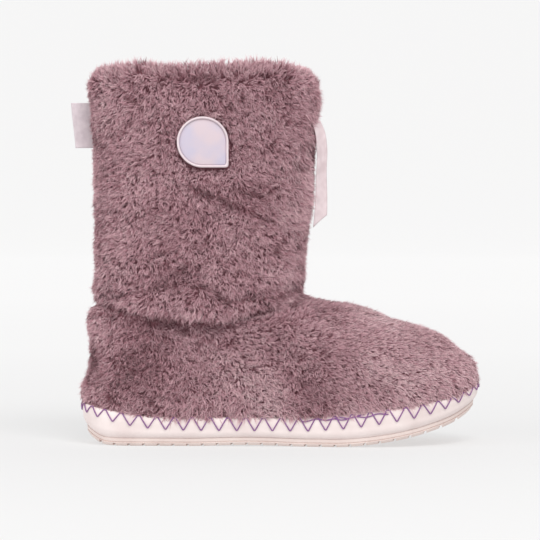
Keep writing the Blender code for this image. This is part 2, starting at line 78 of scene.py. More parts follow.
# Lift of the tread and of the seat along the sole
sideRows = [
    (0.000, 1.00, 1.00), (0.025, 0.52, 0.82), (0.055, 0.10, 0.62), (0.085, 0.00, 0.44),
    (0.150, 0.00, 0.14), (0.230, 0.00, 0.00), (0.560, 0.00, 0.00), (0.642, 0.00, 0.09),
    (0.755, 0.11, 0.27), (0.868, 0.36, 0.47), (0.940, 0.62, 0.68), (0.980, 0.86, 0.88),
    (1.000, 1.00, 1.00),
]

# Rings of the foot: back, back rise, front, front rise, half width, oval, hug, sag
footRows = [
    (0.0038, 0.000, 0.9962, 0.000, 0.4898, 0.00, 1.00, 0.000),
    (0.0040, 0.050, 0.9975, 0.062, 0.5000, 0.00, 1.00, 0.000),
    (0.0062, 0.110, 0.9905, 0.155, 0.5080, 0.03, 1.00, 0.000),
    (0.0115, 0.175, 0.9720, 0.258, 0.5080, 0.08, 1.00, 0.000),
    (0.0170, 0.250, 0.9470, 0.358, 0.5000, 0.14, 1.00, 0.000),
    (0.0205, 0.332, 0.9180, 0.468, 0.4850, 0.20, 1.00, 0.000),
    (0.0219, 0.412, 0.8900, 0.550, 0.4700, 0.27, 0.94, 0.000),
    (0.0219, 0.487, 0.8540, 0.607, 0.4540, 0.35, 0.88, 0.000),
    (0.0211, 0.564, 0.8160, 0.674, 0.4420, 0.44, 0.80, 0.000),
    (0.0200, 0.636, 0.7780, 0.727, 0.4340, 0.53, 0.70, 0.012),
    (0.0190, 0.706, 0.7300, 0.818, 0.4280, 0.63, 0.55, 0.030),
    (0.0190, 0.770, 0.6680, 0.891, 0.4240, 0.74, 0.40, 0.060),
    (0.0215, 0.845, 0.6010, 0.930, 0.4220, 0.86, 0.20, 0.110),
    (0.0385, 0.940, 0.5560, 0.995, 0.4130, 1.00, 0.00, 0.190),
]

# Rings of the shaft: back, back rise, front, front rise, half width, sag
shaftRows = [
    (0.0330, 0.032, 0.5570, 0.030, 0.4320, 0.200),
    (0.0345, 0.072, 0.5585, 0.062, 0.4480, 0.185),
    (0.0375, 0.125, 0.5570, 0.110, 0.4480, 0.120),
    (0.0345, 0.195, 0.5620, 0.180, 0.4500, 0.050),
    (0.0375, 0.300, 0.5640, 0.290, 0.4580, 0.000),
    (0.0340, 0.435, 0.5755, 0.430, 0.4680, 0.000),
    (0.0325, 0.630, 0.5830, 0.630, 0.4820, 0.000),
    (0.0235, 0.825, 0.5870, 0.825, 0.4960, 0.000),
    (0.0210, 0.905, 0.5870, 0.905, 0.5000, 0.000),
    (0.0290, 0.960, 0.5800, 0.960, 0.4920, 0.000),
    (0.0410, 0.990, 0.5680, 0.990, 0.4650, 0.000),
]

# Soft troughs: side, from along, up, to along, up, half breadth, depth
foldRows = [
    (-1, 0.07, 0.405, 0.28, 0.445, 0.080, 0.034),
    (-1, 0.30, 0.440, 0.35, 0.390, 0.070, 0.034),
    (-1, 0.37, 0.388, 0.55, 0.408, 0.070, 0.032),
    (-1, 0.18, 0.335, 0.25, 0.325, 0.080, 0.040),
    (-1, 0.49, 0.245, 0.57, 0.150, 0.120, 0.042),
    (-1, 0.03, 0.235, 0.04, 0.170, 0.090, 0.028),
    (-1, 0.65, 0.155, 0.74, 0.155, 0.090, 0.030),
    (1, 0.10, 0.420, 0.34, 0.430, 0.080, 0.034),
    (1, 0.36, 0.395, 0.53, 0.415, 0.070, 0.034),
    (1, 0.46, 0.255, 0.55, 0.160, 0.120, 0.040),
    (1, 0.60, 0.200, 0.72, 0.165, 0.100, 0.030),
]


def readRows(rows, at):
    # a cubic through the rows, with each row's slope from its neighbours
    rows, at = np.array(rows, float), np.asarray(at, float)
    place, values = rows[:, 0], rows[:, 1:]
    slope = np.gradient(values, place, axis=0)
    low = np.clip(np.searchsorted(place, at, side="right") - 1, 0, len(place) - 2)
    span = (place[low + 1] - place[low])[:, None]
    t = ((at - place[low])[:, None]) / span
    start = (1 + 2 * t) * (1 - t) ** 2 * values[low] + t * (1 - t) ** 2 * span * slope[low]
    return start + t * t * (3 - 2 * t) * values[low + 1] + t * t * (t - 1) * span * slope[low + 1]


def sideLines(x):
    # heights of the tread line and of the seat line at x
    along = np.clip((np.asarray(x, float) + boot["heelOverhang"]) / boot["soleLength"], 0, 1)
    tread, seat = readRows(sideRows, along.ravel()).T.reshape(2, *along.shape)
    ahead = along > 0.5
    arch = np.clip(1 - ((along - boot["archPlace"]) / boot["archReach"]) ** 2, 0, 1) ** 2
    tread = np.maximum(tread, 0) * np.where(ahead, boot["toeSpring"], boot["heelCurl"])
    rise = np.where(ahead, boot["seatToeRise"], boot["seatHeelRise"])
    return tread + boot["archRise"] * arch, boot["soleThickness"] + np.maximum(seat, 0) * rise


def soleOutline(along):
    # centre and half width, with both ends rounded: (1 - t^n)^(1/n), t from 0 to 1 at the tip
    centre, half = readRows(outlineRows, along).T
    heel = np.clip(1 - along / ends["heel"], 0, 1)
    toe = np.clip(1 - (1 - along) / ends["toe"], 0, 1)
    for t, power in ((heel, ends["heelPower"]), (toe, ends["toePower"])):
        half = half * (1 - t**power) ** (1 / power)
    return centre, half


def ovalWidth(along):
    return (1 - np.abs(2 * along - 1) ** ends["ovalPower"]) ** (1 / ends["ovalPower"])


def evenPath(points, count):
    # the same path in steps of equal length
    step = np.linalg.norm(np.diff(points, axis=0), axis=1)
    run = np.concatenate([[0], np.cumsum(step)])
    at = np.linspace(0, run[-1], count + 1)
    return np.stack([np.interp(at, run, points[:, axis]) for axis in range(3)], axis=1)


def closedRing(x, centre, half, z, count):
    # heel to toe down the outer side, then back up the inner side
    outer = evenPath(np.stack([x, centre - half, z], axis=1), count // 2)
    inner = evenPath(np.stack([x, centre + half, z], axis=1), count // 2)
    return np.concatenate([outer[:-1], inner[:0:-1]])


def insetRing(ring, inset):
    # each point moves in along the ring's level normal
    ahead = np.roll(ring, -1, axis=0) - np.roll(ring, 1, axis=0)
    length = np.linalg.norm(ahead[:, :2], axis=1)
    inwards = np.stack([-ahead[:, 1] / length, ahead[:, 0] / length, np.zeros(len(ring))], axis=1)
    return ring + np.asarray(inset).reshape(-1, 1) * inwards


def soleRing(inset, count):
    along = (1 - np.cos(np.linspace(0, math.pi, 721))) / 2
    centre, half = soleOutline(along)
    x = along * boot["soleLength"] - boot["heelOverhang"]
    ring = closedRing(x, centre * boot["ballWidth"], half * boot["ballWidth"], 0 * x, count)
    return insetRing(ring, inset)


def upperRing(row, count):
    # one ring of the upper: an oval or the sole's outline between its back and its front
    back, backRise, front, frontRise, half, roundness, hug, sag = row
    along = (1 - np.cos(np.linspace(0, math.pi, 361))) / 2
    x = back + (front - back) * along - boot["heelOverhang"]
    centre, plain = soleOutline(along)
    width = (1 - roundness) * plain / 0.5 + roundness * ovalWidth(along)
    z = backRise + (frontRise - backRise) * along
    z = z + hug * sideLines(x)[1] + (1 - hug) * boot["soleThickness"]
    z = z - sag * np.sin(math.pi * along**1.2)
    return closedRing(x, (1 - roundness) * centre * boot["ballWidth"], half * width, z, count)


def upperTable():
    # the rows of foot and shaft in metres
    shaft = boot["height"] - boot["soleThickness"] - boot["instepRise"]
    length, instep = boot["soleLength"], boot["instepRise"]
    rows = []
    for back, backUp, front, frontUp, half, roundness, hug, sag in footRows:
        rows.append((back * length, backUp * instep, front * length, frontUp * instep,
                     half * boot["ballWidth"], roundness, hug, sag * instep))
    for back, backUp, front, frontUp, half, sag in shaftRows:
        rows.append((back * length, instep + backUp * shaft, front * length, instep + frontUp * shaft,
                     half * boot["shaftWidth"], 1.0, 0.0, sag * instep))
    return np.array(rows)


def upperLevels(count):
    # rows at even steps up the upper, by the mean run of its back and its front
    rows = upperTable()
    back = np.linalg.norm(np.diff(rows[:, 0:2], axis=0), axis=1)
    front = np.linalg.norm(np.diff(rows[:, 2:4], axis=0), axis=1)
    run = np.concatenate([[0], np.cumsum((back + front) / 2)])
    return readRows(np.concatenate([run[:, None], rows], axis=1), np.linspace(0, run[-1], count + 1))


def shaftSize(z):
    # the shaft's back, front and half width at a height
    rows = upperLevels(160)
    up = boot["soleThickness"] + rows[:, 1]
    back, front, half = (np.interp(z, up, rows[:, column]) for column in (0, 2, 4))
    return back - boot["heelOverhang"], front - boot["heelOverhang"], half


def ease(value, low, high):
    # 0 below low, 1 above high, and 3t^2 - 2t^3 between them
    t = np.clip((value - low) / (high - low), 0, 1)
    return t * t * (3 - 2 * t)


def bell(value, middle, reach):
    # 1 at the middle, falling off on both sides: exp(-d^2), with d counted in reaches
    return np.exp(-(((value - middle) / reach) ** 2))


def unit(vectors):
    return vectors / np.maximum(np.linalg.norm(vectors, axis=-1, keepdims=True), 1e-12)


def gridNormals(grid):
    # the way round the ring crossed with the way up the rows
    along = np.roll(grid, -1, axis=1) - np.roll(grid, 1, axis=1)
    return unit(np.cross(along, np.gradient(grid, axis=0)))


def soften(grid, times):
    # each row becomes half itself and a quarter of each neighbour
    for _ in range(times):
        middle = (grid[:-2] + 2 * grid[1:-1] + grid[2:]) / 4
        grid = np.concatenate([grid[:1], middle, grid[-1:]])
    return grid


def lineDistance(flat, start, end):
    # how far each place is from the line between two points of the side view
    run = end - start
    share = np.clip(((flat - start) @ run) / (run @ run), 0, 1)
    return np.linalg.norm(flat - start - share[..., None] * run, axis=-1)


def foldDepth(grid):
    # how far the troughs press in: a bell across each listed line
    flat = np.stack([grid[..., 0] + boot["heelOverhang"], grid[..., 2]], axis=-1)
    size = np.array([boot["soleLength"], boot["height"]])
    depth = np.zeros(grid.shape[:-1])
    for side, alongA, upA, alongB, upB, breadth, deep in foldRows:
        away = lineDistance(flat, np.array([alongA, upA]) * size, np.array([alongB, upB]) * size)
        mask = np.clip(side * grid[..., 1] / (0.1 * boot["ballWidth"]), 0, 1)
        depth += mask * deep * boot["instepRise"] * bell(away, 0, breadth * boot["instepRise"])
    return depth


def smoothNoise(points, scale, seed, waves=14):
    # a sum of sine waves in random directions, about -1 to 1, with a wavelength near scale
    rng = np.random.default_rng(seed)
    directions = unit(rng.normal(size=(waves, 3))) * (2 * math.pi / scale)
    directions *= rng.uniform(0.6, 1.5, (waves, 1))
    phases = rng.uniform(0, 2 * math.pi, waves)
    total = np.zeros(points.shape[:-1])
    for direction, phase in zip(directions, phases):
        total += np.sin(points @ direction + phase)
    return total / math.sqrt(waves / 2) / 1.6


# Meshes
def addObject(name, data):
    # any mesh, lamp or camera put into the scene
    thing = bpy.data.objects.new(name, data)
    bpy.context.scene.collection.objects.link(thing)
    return thing


def newPiece(name, points, faces, material):
    # a smooth mesh that rides on the boot
    mesh = bpy.data.meshes.new(name)
    mesh.from_pydata(np.reshape(points, (-1, 3)), [], faces)
    mesh.materials.append(material)
    mesh.shade_smooth()
    piece = addObject(name, mesh)
    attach(piece, "root")
    return piece


def gridFaces(rows, columns, closeRows=False, closeColumns=True):
    # quads between neighbouring rows and columns of a grid, facing out where rows climb
    rowCount = rows if closeRows else rows - 1
    columnCount = columns if closeColumns else columns - 1
    r, c = np.meshgrid(np.arange(rowCount), np.arange(columnCount), indexing="ij")
    r, c = r.ravel(), c.ravel()
    up, side = (r + 1) % rows, (c + 1) % columns
    return np.stack([r * columns + c, r * columns + side, up * columns + side, up * columns + c], axis=1)


def capStrips(count, first, upwards):
    # a cap across a ring, in strips from its outer side to its inner side
    faces = []
    for j in range(count // 2):
        corners = [first + j, first + j + 1, first + (count - j - 1) % count, first + (count - j) % count]
        corners = list(dict.fromkeys(corners))
        faces.append(corners if upwards else corners[::-1])
    return faces


def cappedFaces(rings):
    # the wall between the rings, and a cap over each end
    count, around = rings.shape[:2]
    faces = gridFaces(count, around).tolist()
    return faces + capStrips(around, 0, False) + capStrips(around, (count - 1) * around, True)


def addUv(piece, uv):
    # one place on the map for each point, copied to the corners that use it
    layer = piece.data.uv_layers.new(name="OFBake")
    corner = np.empty(len(piece.data.loops), np.int32)
    piece.data.loops.foreach_get("vertex_index", corner)
    layer.data.foreach_set("uv", uv[corner].astype(np.float32).ravel())


# Shader maths
class Socket:
    # a node's output, so that an expression on it adds the Math nodes that work it out
    def __init__(self, tree, socket):
        self.tree, self.socket = tree, socket

    def combine(self, operation, *values):
        return self.tree.add("ShaderNodeMath", dict(operation=operation), *values)

    def __add__(self, other):
        return self.combine("ADD", self, other)

    def __radd__(self, other):
        return self.combine("ADD", other, self)

    def __sub__(self, other):
        return self.combine("SUBTRACT", self, other)

    def __rsub__(self, other):
        return self.combine("SUBTRACT", other, self)

    def __mul__(self, other):
        return self.combine("MULTIPLY", self, other)

    def __rmul__(self, other):
        return self.combine("MULTIPLY", other, self)

    def __truediv__(self, other):
        return self.combine("DIVIDE", self, other)

    def __rtruediv__(self, other):
        return self.combine("DIVIDE", other, self)

    def __pow__(self, other):
        return self.combine("POWER", self, other)

    def __rpow__(self, other):
        return self.combine("POWER", other, self)

    def clamp(self):
        return self.tree.add("ShaderNodeClamp", {}, self)


class Finish:
    # a material whose nodes are added one at a time
    def __init__(self, name, roughness, **constants):
        self.material = bpy.data.materials.new(name)
        self.material.use_nodes = True
        self.nodes = self.material.node_tree.nodes
        self.links = self.material.node_tree.links
        self.shader = self.nodes["Principled BSDF"]
        for socket, value in dict(constants, Roughness=roughness).items():
            self.shader.inputs[socket.replace("_", " ")].default_value = value

    def add(self, kind, settings, *values, output=0, **named):
        node = self.nodes.new(kind)
        for setting, value in settings.items():
            if setting == "stops":
                ramp = node.color_ramp
                while len(ramp.elements) < len(value):
                    ramp.elements.new(0.5)
                for element, (place, color) in zip(ramp.elements, value):
                    element.position, element.color = place, linear(color)
            else:
                setattr(node, setting, value)
        for key, value in [*enumerate(values), *((k.replace("_", " "), v) for k, v in named.items())]:
            if isinstance(value, Socket):
                self.links.new(value.socket, node.inputs[key])
            elif value is not None:
                node.inputs[key].default_value = value
        return Socket(self, node.outputs[output])

    def mix(self, factor, first, second):
        # the two colours are the node's seventh and eighth inputs
        settings = dict(data_type="RGBA", blend_type="MIX")
        return self.add("ShaderNodeMix", settings, factor, *[None] * 5, first, second, output=2)

    def objectPoint(self, scale=(1, 1, 1)):
        place = self.add("ShaderNodeTexCoord", {}, output=3)
        return self.add("ShaderNodeMapping", {}, place, Scale=scale)

    def noise(self, point, scale, detail=3.0, roughness=0.5):
        return self.add("ShaderNodeTexNoise", {}, point, None, scale, detail, roughness)

    def ramp(self, value, stops):
        return self.add("ShaderNodeValToRGB", dict(stops=stops), value)

    def bump(self, height, strength, distance):
        return self.add("ShaderNodeBump", {}, strength, distance, Height=height)

    def feed(self, **sockets):
        for name, value in sockets.items():
            self.links.new(value.socket, self.shader.inputs[name.replace("_", " ")])
        return self.material


def linear(color):
    # a colour as the eye sees it, 0 to 255, in the renderer's linear values
    return (*[(channel / 255) ** 2.2 for channel in color], 1.0)


# The deep crease at the ankle: x and z of its line in metres, and its strength there
creaseRows = [
    (-0.045, 0.0955, 0.30), (-0.031, 0.0948, 0.50), (0.003, 0.0878, 0.85), (0.018, 0.0862, 1.00),
    (0.047, 0.0828, 1.00), (0.059, 0.0843, 0.90), (0.076, 0.0898, 0.65), (0.092, 0.0912, 0.00),
]

# Its section, a narrow fold with a soft lip over it: height above the line, reach and depth
creaseSection = [(0.0, 0.0017, 0.0034), (-0.005, 0.005, 0.0012), (0.0055, 0.0040, -0.0016)]


def creaseStrength(points):
    # height above the crease's line, and its strength at that place, less on the inner side
    line = np.array(creaseRows)
    above = points[..., 2] - np.interp(points[..., 0], line[:, 0], line[:, 1])
    strength = np.interp(points[..., 0], line[:, 0], line[:, 2])
    return above, strength * (0.85 - 0.15 * np.tanh(points[..., 1] / 0.01))


def creaseDepth(points):
    # the bells of the section, added
    above, strength = creaseStrength(points)
    return strength * sum(depth * bell(above, middle, reach) for middle, reach, depth in creaseSection)


# Lighter and darker areas of the pile, by place in the side view, partly painted light and shade: lighter on
# top of the foot where it faces the light, darker in the crease's pit: x, z, reach, tone
patchRows = [
    (0.190, 0.060, 0.050, 0.18), (0.150, 0.078, 0.030, 0.14), (0.060, 0.048, 0.035, 0.04),
    (0.005, 0.052, 0.028, -0.27), (0.105, 0.200, 0.030, 0.05), (0.020, 0.170, 0.030, 0.05),
    (0.045, 0.235, 0.030, -0.06), (0.065, 0.165, 0.020, -0.06), (0.120, 0.038, 0.018, -0.10),
    (-0.020, 0.110, 0.030, 0.05), (0.030, 0.100, 0.022, 0.04), (0.018, 0.0862, 0.0038, -0.60),
    (0.160, 0.048, 0.018, 0.08), (0.105, 0.145, 0.030, 0.06), (0.072, 0.052, 0.030, 0.17),
]

# Tufts that stand out from the outline: x, z, reach, extra length
tuftRows = [
    (0.1165, 0.2290, 0.0100, 0.85), (-0.0340, 0.1255, 0.0050, 0.50), (-0.0310, 0.1060, 0.0040, 0.35),
    (0.1120, 0.1420, 0.0045, 0.35), (0.1340, 0.0980, 0.0050, 0.45), (0.1460, 0.0900, 0.0060, 0.25),
    (0.1830, 0.0780, 0.0060, 0.30), (0.1060, 0.1600, 0.0110, 0.45), (0.2170, 0.0560, 0.0040, 0.35),
    (-0.0380, 0.0800, 0.0060, 0.40), (-0.0390, 0.0380, 0.0070, 0.45), (0.0000, 0.2530, 0.0100, 0.12),
    (0.0830, 0.2530, 0.0120, 0.15),
]


def spotSum(points, rows):
    # a round bell at each row's x and z, as high as the row's last value, all added
    total = np.zeros(points.shape[:-1])
    for x, z, reach, height in rows:
        total += height * bell(np.hypot(points[..., 0] - x, points[..., 2] - z), 0, reach)
    return total


# Painted shade in fine dark partings of the pile and under its folds: from x, z to x, z, half breadth and
# strength, in metres
partingRows = [
    (0.014, 0.2400, 0.050, 0.2412, 0.0016, 0.28),
    (0.042, 0.2405, 0.050, 0.2390, 0.0012, 0.40),
    (0.034, 0.172, 0.060, 0.160, 0.0019, 0.48),
    (0.060, 0.160, 0.092, 0.146, 0.0015, 0.32),
    (0.062, 0.172, 0.080, 0.163, 0.0012, 0.45),
    (-0.006, 0.150, 0.012, 0.158, 0.0014, 0.40),
    (0.010, 0.128, 0.024, 0.131, 0.0014, 0.40),
    (-0.018, 0.098, 0.022, 0.108, 0.0014, 0.30),
    (0.022, 0.108, 0.050, 0.103, 0.0016, 0.40),
    (0.050, 0.100, 0.056, 0.096, 0.0018, 0.55),
    (0.056, 0.096, 0.098, 0.101, 0.0014, 0.35),
    (0.010, 0.0865, 0.024, 0.0853, 0.0024, 0.70),
    (0.096, 0.050, 0.106, 0.042, 0.0030, 0.25),
    (-0.030, 0.062, -0.024, 0.048, 0.0020, 0.35),
]


def partingShade(points):
    # painted shade on the outer side near each listed line
    flat = points[..., [0, 2]]
    total = np.zeros(points.shape[:-1])
    for xA, zA, xB, zB, breadth, strength in partingRows:
        away = lineDistance(flat, np.array([xA, zA]), np.array([xB, zB]))
        total += strength * bell(away, 0, breadth) * (points[..., 1] < 0)
    return total


# Trim on the shaft: badge, label and ribbon
collarTop = boot["height"]
badge = dict(
    radius=0.0167, forward=0.0415, up=collarTop - 0.052, thick=0.0020, rim=0.0016, rise=0.0009, corner=1.37,
    edge=0.0012, field=0.0016, dome=0.0009, turns=160,
)
label = dict(
    top=collarTop - 0.026, height=0.030, reach=0.0128, fold=0.0011, tape=0.0007, thick=0.0024,
    wave=0.0004, waveTurn=260, bulge=0.02, bulgeTurn=90,
)
ribbon = dict(
    top=collarTop - 0.0375, length=0.063, width=0.0115, slant=0.008, tape=0.0004, cup=0.0005, sway=0.0003,
)
collar = dict(start=0.016, end=0.002, corner=0.0050, dip=0.0022, dipPlace=0.030, dipReach=0.022)


def badgeStretch(turn):
    # how far the badge's edge is from its middle: a circle with one square corner
    power = 2 * math.log(2) / (math.log(2) - 2 * math.log(badge["corner"]))
    forward, up = np.cos(turn), np.sin(turn)
    square = (np.abs(forward) ** power + np.abs(up) ** power) ** (-1 / power)
    return np.where((forward > 0) & (up < 0), square, 1.0)


def underTrim(points, margin):
    # true where the badge or the label covers the fur
    forward, up = points[:, 0] - badge["forward"], points[:, 2] - badge["up"]
    edge = badge["radius"] * badgeStretch(np.arctan2(up, forward)) + margin
    covered = (np.hypot(forward, up) < edge) & (points[:, 1] < 0)
    high = (points[:, 2] < label["top"] + margin) & (points[:, 2] > label["top"] - label["height"] - margin)
    return covered | (high & (np.abs(points[:, 1]) < label["thick"] / 2 + margin) & (points[:, 0] < 0))


def shaftEnd(points):
    # 0 at the middle of the shaft, 1 at its back and its front
    back, front, _ = shaftSize(points[..., 2])
    return np.clip(np.abs(2 * (points[..., 0] - back) / (front - back) - 1), 0, 1)


def collarDrop(points):
    # the collar's soft corners and the dip in the middle of its top edge
    near = ease(points[..., 2], collarTop - collar["start"], collarTop - collar["end"])
    dip = collar["dip"] * bell(points[..., 0], collar["dipPlace"], collar["dipReach"])
    return near * (collar["corner"] * shaftEnd(points) ** 6 + dip)


# Where fur lies over the ribbon's back edge, and over its sewn end: each weight's start and end in metres,
# forward from the shaft's front, to the outer and inner side, down from the ribbon's top, up from its foot
overEdge = dict(
    forward=(-0.014, -0.007), outer=(0.013, 0.017), inner=(-0.033, -0.026), down=(-0.010, -0.003),
    up=(-0.004, 0.004),
)
overEnd = dict(
    forward=(-0.016, -0.008), above=(-0.002, 0.001), below=(-0.009, -0.005), across=1.15, reach=0.0075,
)


def besideRibbon(points):
    # weight of the fur that lies over the ribbon's back edge, round the shaft and up it
    x, y, z = points.T
    bottom = ribbon["top"] - ribbon["length"] - ribbon["slant"]
    around = ease(x - shaftSize(z)[1], *overEdge["forward"]) * ease(-y, *overEdge["outer"])
    around = around * ease(y, *overEdge["inner"]) * ease(z - bottom, *overEdge["up"])
    return around * ease(ribbon["top"] - z, *overEdge["down"])


def overRibbon(points):
    # weight of the fur that hangs over the ribbon's sewn end
    x, y, z = points.T
    high = z - ribbon["top"]
    near = ease(high, *overEnd["above"]) * ease(-high, *overEnd["below"])
    near = near * ease(x - shaftSize(z)[1], *overEnd["forward"])
    return near * bell(y, -overEnd["across"] * ribbon["width"], overEnd["reach"])


# The fur's colours, from painted shade between strands to the painted highlight on their tips
furLook = dict(
    gapShade=(105, 59, 68), deep=(141, 90, 100), body=(198, 150, 160), light=(224, 187, 193), tip=(244, 219, 221),
)


def furMaterial():
    # colour from the strand's tone across the map and from root to tip up the map, with painted shade towards
    # the root and a painted highlight at the tip
    fur = Finish("dustyMauveFur", 0.62, Sheen_Weight=0.25, Sheen_Roughness=0.5, Specular_IOR_Level=0.25)
    place = fur.add("ShaderNodeUVMap", dict(uv_map="OFBake"))
    tone = fur.add("ShaderNodeSeparateXYZ", {}, place)
    along = Socket(fur, tone.socket.node.outputs[1])
    colour = fur.ramp(tone, [
        (0.0, furLook["gapShade"]), (0.15, furLook["deep"]), (0.42, furLook["body"]), (0.75, furLook["light"]),
        (1.0, furLook["tip"]),
    ])
    # painted shade: each strand darkens towards its root
    shade = (along * 1.35).clamp() ** 0.8
    colour = fur.mix(shade, linear(furLook["gapShade"]), colour)
    # painted highlight: each strand lightens towards its tip
    colour = fur.mix(((along - 0.6) * 0.85).clamp(), colour, linear(furLook["tip"]))
    return fur.feed(Base_Color=colour)


def skinMaterial():
    # the cloth between the strands, darkened as painted shade for the gaps in the pile
    skin = Finish("furBacking", 0.95)
    place = skin.objectPoint()
    grain = skin.noise(place, 900.0)
    colour = skin.ramp(grain, [(0.3, (104, 63, 70)), (0.7, (134, 91, 99))])
    return skin.feed(Base_Color=colour, Normal=skin.bump(grain, 0.5, 0.001))


def fleeceMaterial():
    # three tones of curly pile
    fleece = Finish("fleeceLining", 0.95, Sheen_Weight=0.4)
    place = fleece.objectPoint()
    tufts = fleece.noise(place, 420.0, 4.0, 0.65)
    colour = fleece.ramp(tufts, [(0.3, (128, 88, 98)), (0.55, (176, 136, 146)), (0.8, (206, 172, 180))])
    return fleece.feed(Base_Color=colour, Normal=fleece.bump(tufts, 0.8, 0.002))


def rubberMaterial(name, low, high, roughness):
    # cloudy between two tones, with a fine moulded grain
    rubber = Finish(name, roughness)
    place = rubber.objectPoint()
    cloud = rubber.noise(place, 55.0, 4.0, 0.55)
    grain = rubber.noise(place, 1600.0, 2.0)
    colour = rubber.ramp(cloud, [(0.3, low), (0.7, high)])
    return rubber.feed(Base_Color=colour, Normal=rubber.bump(grain, 0.12, 0.0004))


def threadMaterial():
    # slanted bands on the thread's own map, as its twist
    thread = Finish("purpleThread", 0.5)
    place = thread.add("ShaderNodeUVMap", dict(uv_map="OFBake"))
    twist = thread.add("ShaderNodeTexWave", dict(bands_direction="DIAGONAL"), place, 12.0)
    colour = thread.ramp(twist, [(0.2, (112, 62, 118)), (0.8, (160, 112, 168))])
    return thread.feed(Base_Color=colour, Normal=thread.bump(twist, 0.3, 0.0003))


def tapeMaterial():
    # woven tape: fine ribs across it and a soft edge
    tape = Finish("wovenTape", 0.7)
    place = tape.objectPoint()
    ribs = tape.add("ShaderNodeTexWave", dict(bands_direction="Z"), place, 1500.0, 0.6, 1.0)
    cloud = tape.noise(place, 240.0)
    colour = tape.ramp(cloud, [(0.3, (206, 192, 198)), (0.7, (222, 209, 214))])
    return tape.feed(Base_Color=colour, Normal=tape.bump(ribs, 0.35, 0.0003))


def satinMaterial(name, low, high, scale, cloudScale=130.0):
    # broad soft tints under a fine weave
    satin = Finish(name, 0.38, Sheen_Weight=0.2)
    weave = satin.noise(satin.objectPoint((scale, scale, scale * 0.35)), 1.0, 2.0)
    cloud = satin.noise(satin.objectPoint(), cloudScale, 1.0)
    colour = satin.ramp(cloud * 0.8 + weave * 0.2, [(0.38, low), (0.62, high)])
    return satin.feed(Base_Color=colour, Normal=satin.bump(weave, 0.15, 0.0004))


# Upper: the backing under the fur, and the fleece inside. The last two count rows inside the collar
skin = dict(
    around=140, levels=80, under=0.0022, rim=5, softening=0.16, liningTop=0.955, foldStart=0.04,
    fleeceFrom=4, furTo=8,
)


def furGrid(levels, around):
    # rings of the upper, pressed in along their normals by the folds and the fur's own depth
    grid = np.array([upperRing(row, around) for row in upperLevels(levels)])
    normals = gridNormals(soften(grid, 3))
    fade = np.clip(np.arange(len(grid)) / (skin["foldStart"] * levels), 0, 1)[:, None]
    return grid - normals * (foldDepth(grid) * fade + skin["under"])[..., None]


def liningGrid(levels, around):
    # the same rings, smoothed, one wall further in and set on the sole's seat
    plain = np.array([upperRing(row, around) for row in upperLevels(levels)])
    plain = soften(plain, int(skin["softening"] * levels))
    inside = plain - gridNormals(plain) * boot["wall"]
    inside[0] = insetRing(plain[0], boot["wall"])
    inside[0, :, 2] = sideLines(inside[0, :, 0])[1]
    return inside[: int(skin["liningTop"] * levels)]


def rimRings(outer, inner, count):
    # half an ellipse over the collar, from the outer ring to the inner one
    turn = np.linspace(0, math.pi, count + 2)[1:-1, None, None]
    middle, reach = (outer + inner) / 2, (outer - inner) / 2
    rings = middle + reach * np.cos(turn)
    rings[..., 2] += (boot["height"] - skin["under"] - outer[:, 2].mean()) * np.sin(turn[..., 0])
    return rings


def makeSkin():
    # one closed surface: up the outside, over the collar and down the lining
    outer = furGrid(skin["levels"], skin["around"])
    lining = liningGrid(skin["levels"], skin["around"])
    rim = rimRings(outer[-1], lining[-1], skin["rim"])
    rings = np.concatenate([outer, rim, lining[::-1]])
    rings[..., 2] -= collarDrop(rings)
    faces = gridFaces(len(rings), skin["around"], closeRows=True)
    piece = newPiece("furBacking", rings, faces, skinMaterial())
    piece.data.materials.append(fleeceMaterial())
    crest = len(outer) + skin["rim"]
    inner = np.repeat(np.arange(len(rings)) > crest + skin["fleeceFrom"], skin["around"])
    piece.data.polygons.foreach_set("material_index", inner.astype(np.int32))
    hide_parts("upper")
    print("backing and lining:", len(faces) * 2, "triangles")
    return rings[: crest + skin["furTo"]], len(outer), lining


# Fur: strands in small tufts, combed down the shaft, towards the toe and up over the collar
strands = dict(
    pitch=0.00108, perTuft=4, width=0.00039, length=0.0053, spread=0.00070, pinch=0.2,
    lift=62, tipLift=32, seed=11, pieces=5, rimBand=0.0095, trimGap=0.0006, trimShort=0.0030,
)
fleecePile = dict(pitch=0.0013, length=0.0034, halfWidth=0.00035, start=0.42, seed=12)

# Where the fur changes, in metres: the top of the foot, the sole's rim, its hanging stretch and its waist
furPlaces = dict(
    footFrom=0.085, footTo=0.150, footHigh=0.115, footLow=0.090, rimReach=0.0055,
    hangFrom=-0.005, hangTo=0.030, waist=0.046, waistReach=0.036, middle=0.045, middleReach=0.03,
)

# How it changes: share of extra length, degrees of extra lift, and of the tip's
furChanges = dict(collar=(0.36, 10, 4), ribbon=(0.55, -14, 0), foot=(-0.10, -12, -8))

# At the sole's rim, for all of it, the hanging stretch and the waist: length, and lift in radians
rimChanges = dict(length=(-0.01, 0.46, 0.44), lift=(0, 0.42, -0.90), tipLift=(-0.58, 0, -0.34))

# Round the crease: height above it, reach, and extra length, or extra tone as painted shade in the crease and
# painted light on its lip
creaseLength = [(0.004, 0.004, 0.30), (-0.003, 0.003, -0.45)]
creaseShading = [(-0.0004, 0.0014, -0.80), (0.005, 0.003, 0.10)]

# Tone, from 0 dark to 1 light: of all fur, painted rim light at the collar and the sole's rim, painted shade
# in folds, fine noise, thin partings of painted shade
toneAndShading = dict(
    base=0.45, collar=0.10, rim=0.10, fold=-35, fine=0.09, calmFine=0.04, parting=-0.44, partingReach=0.11,
)

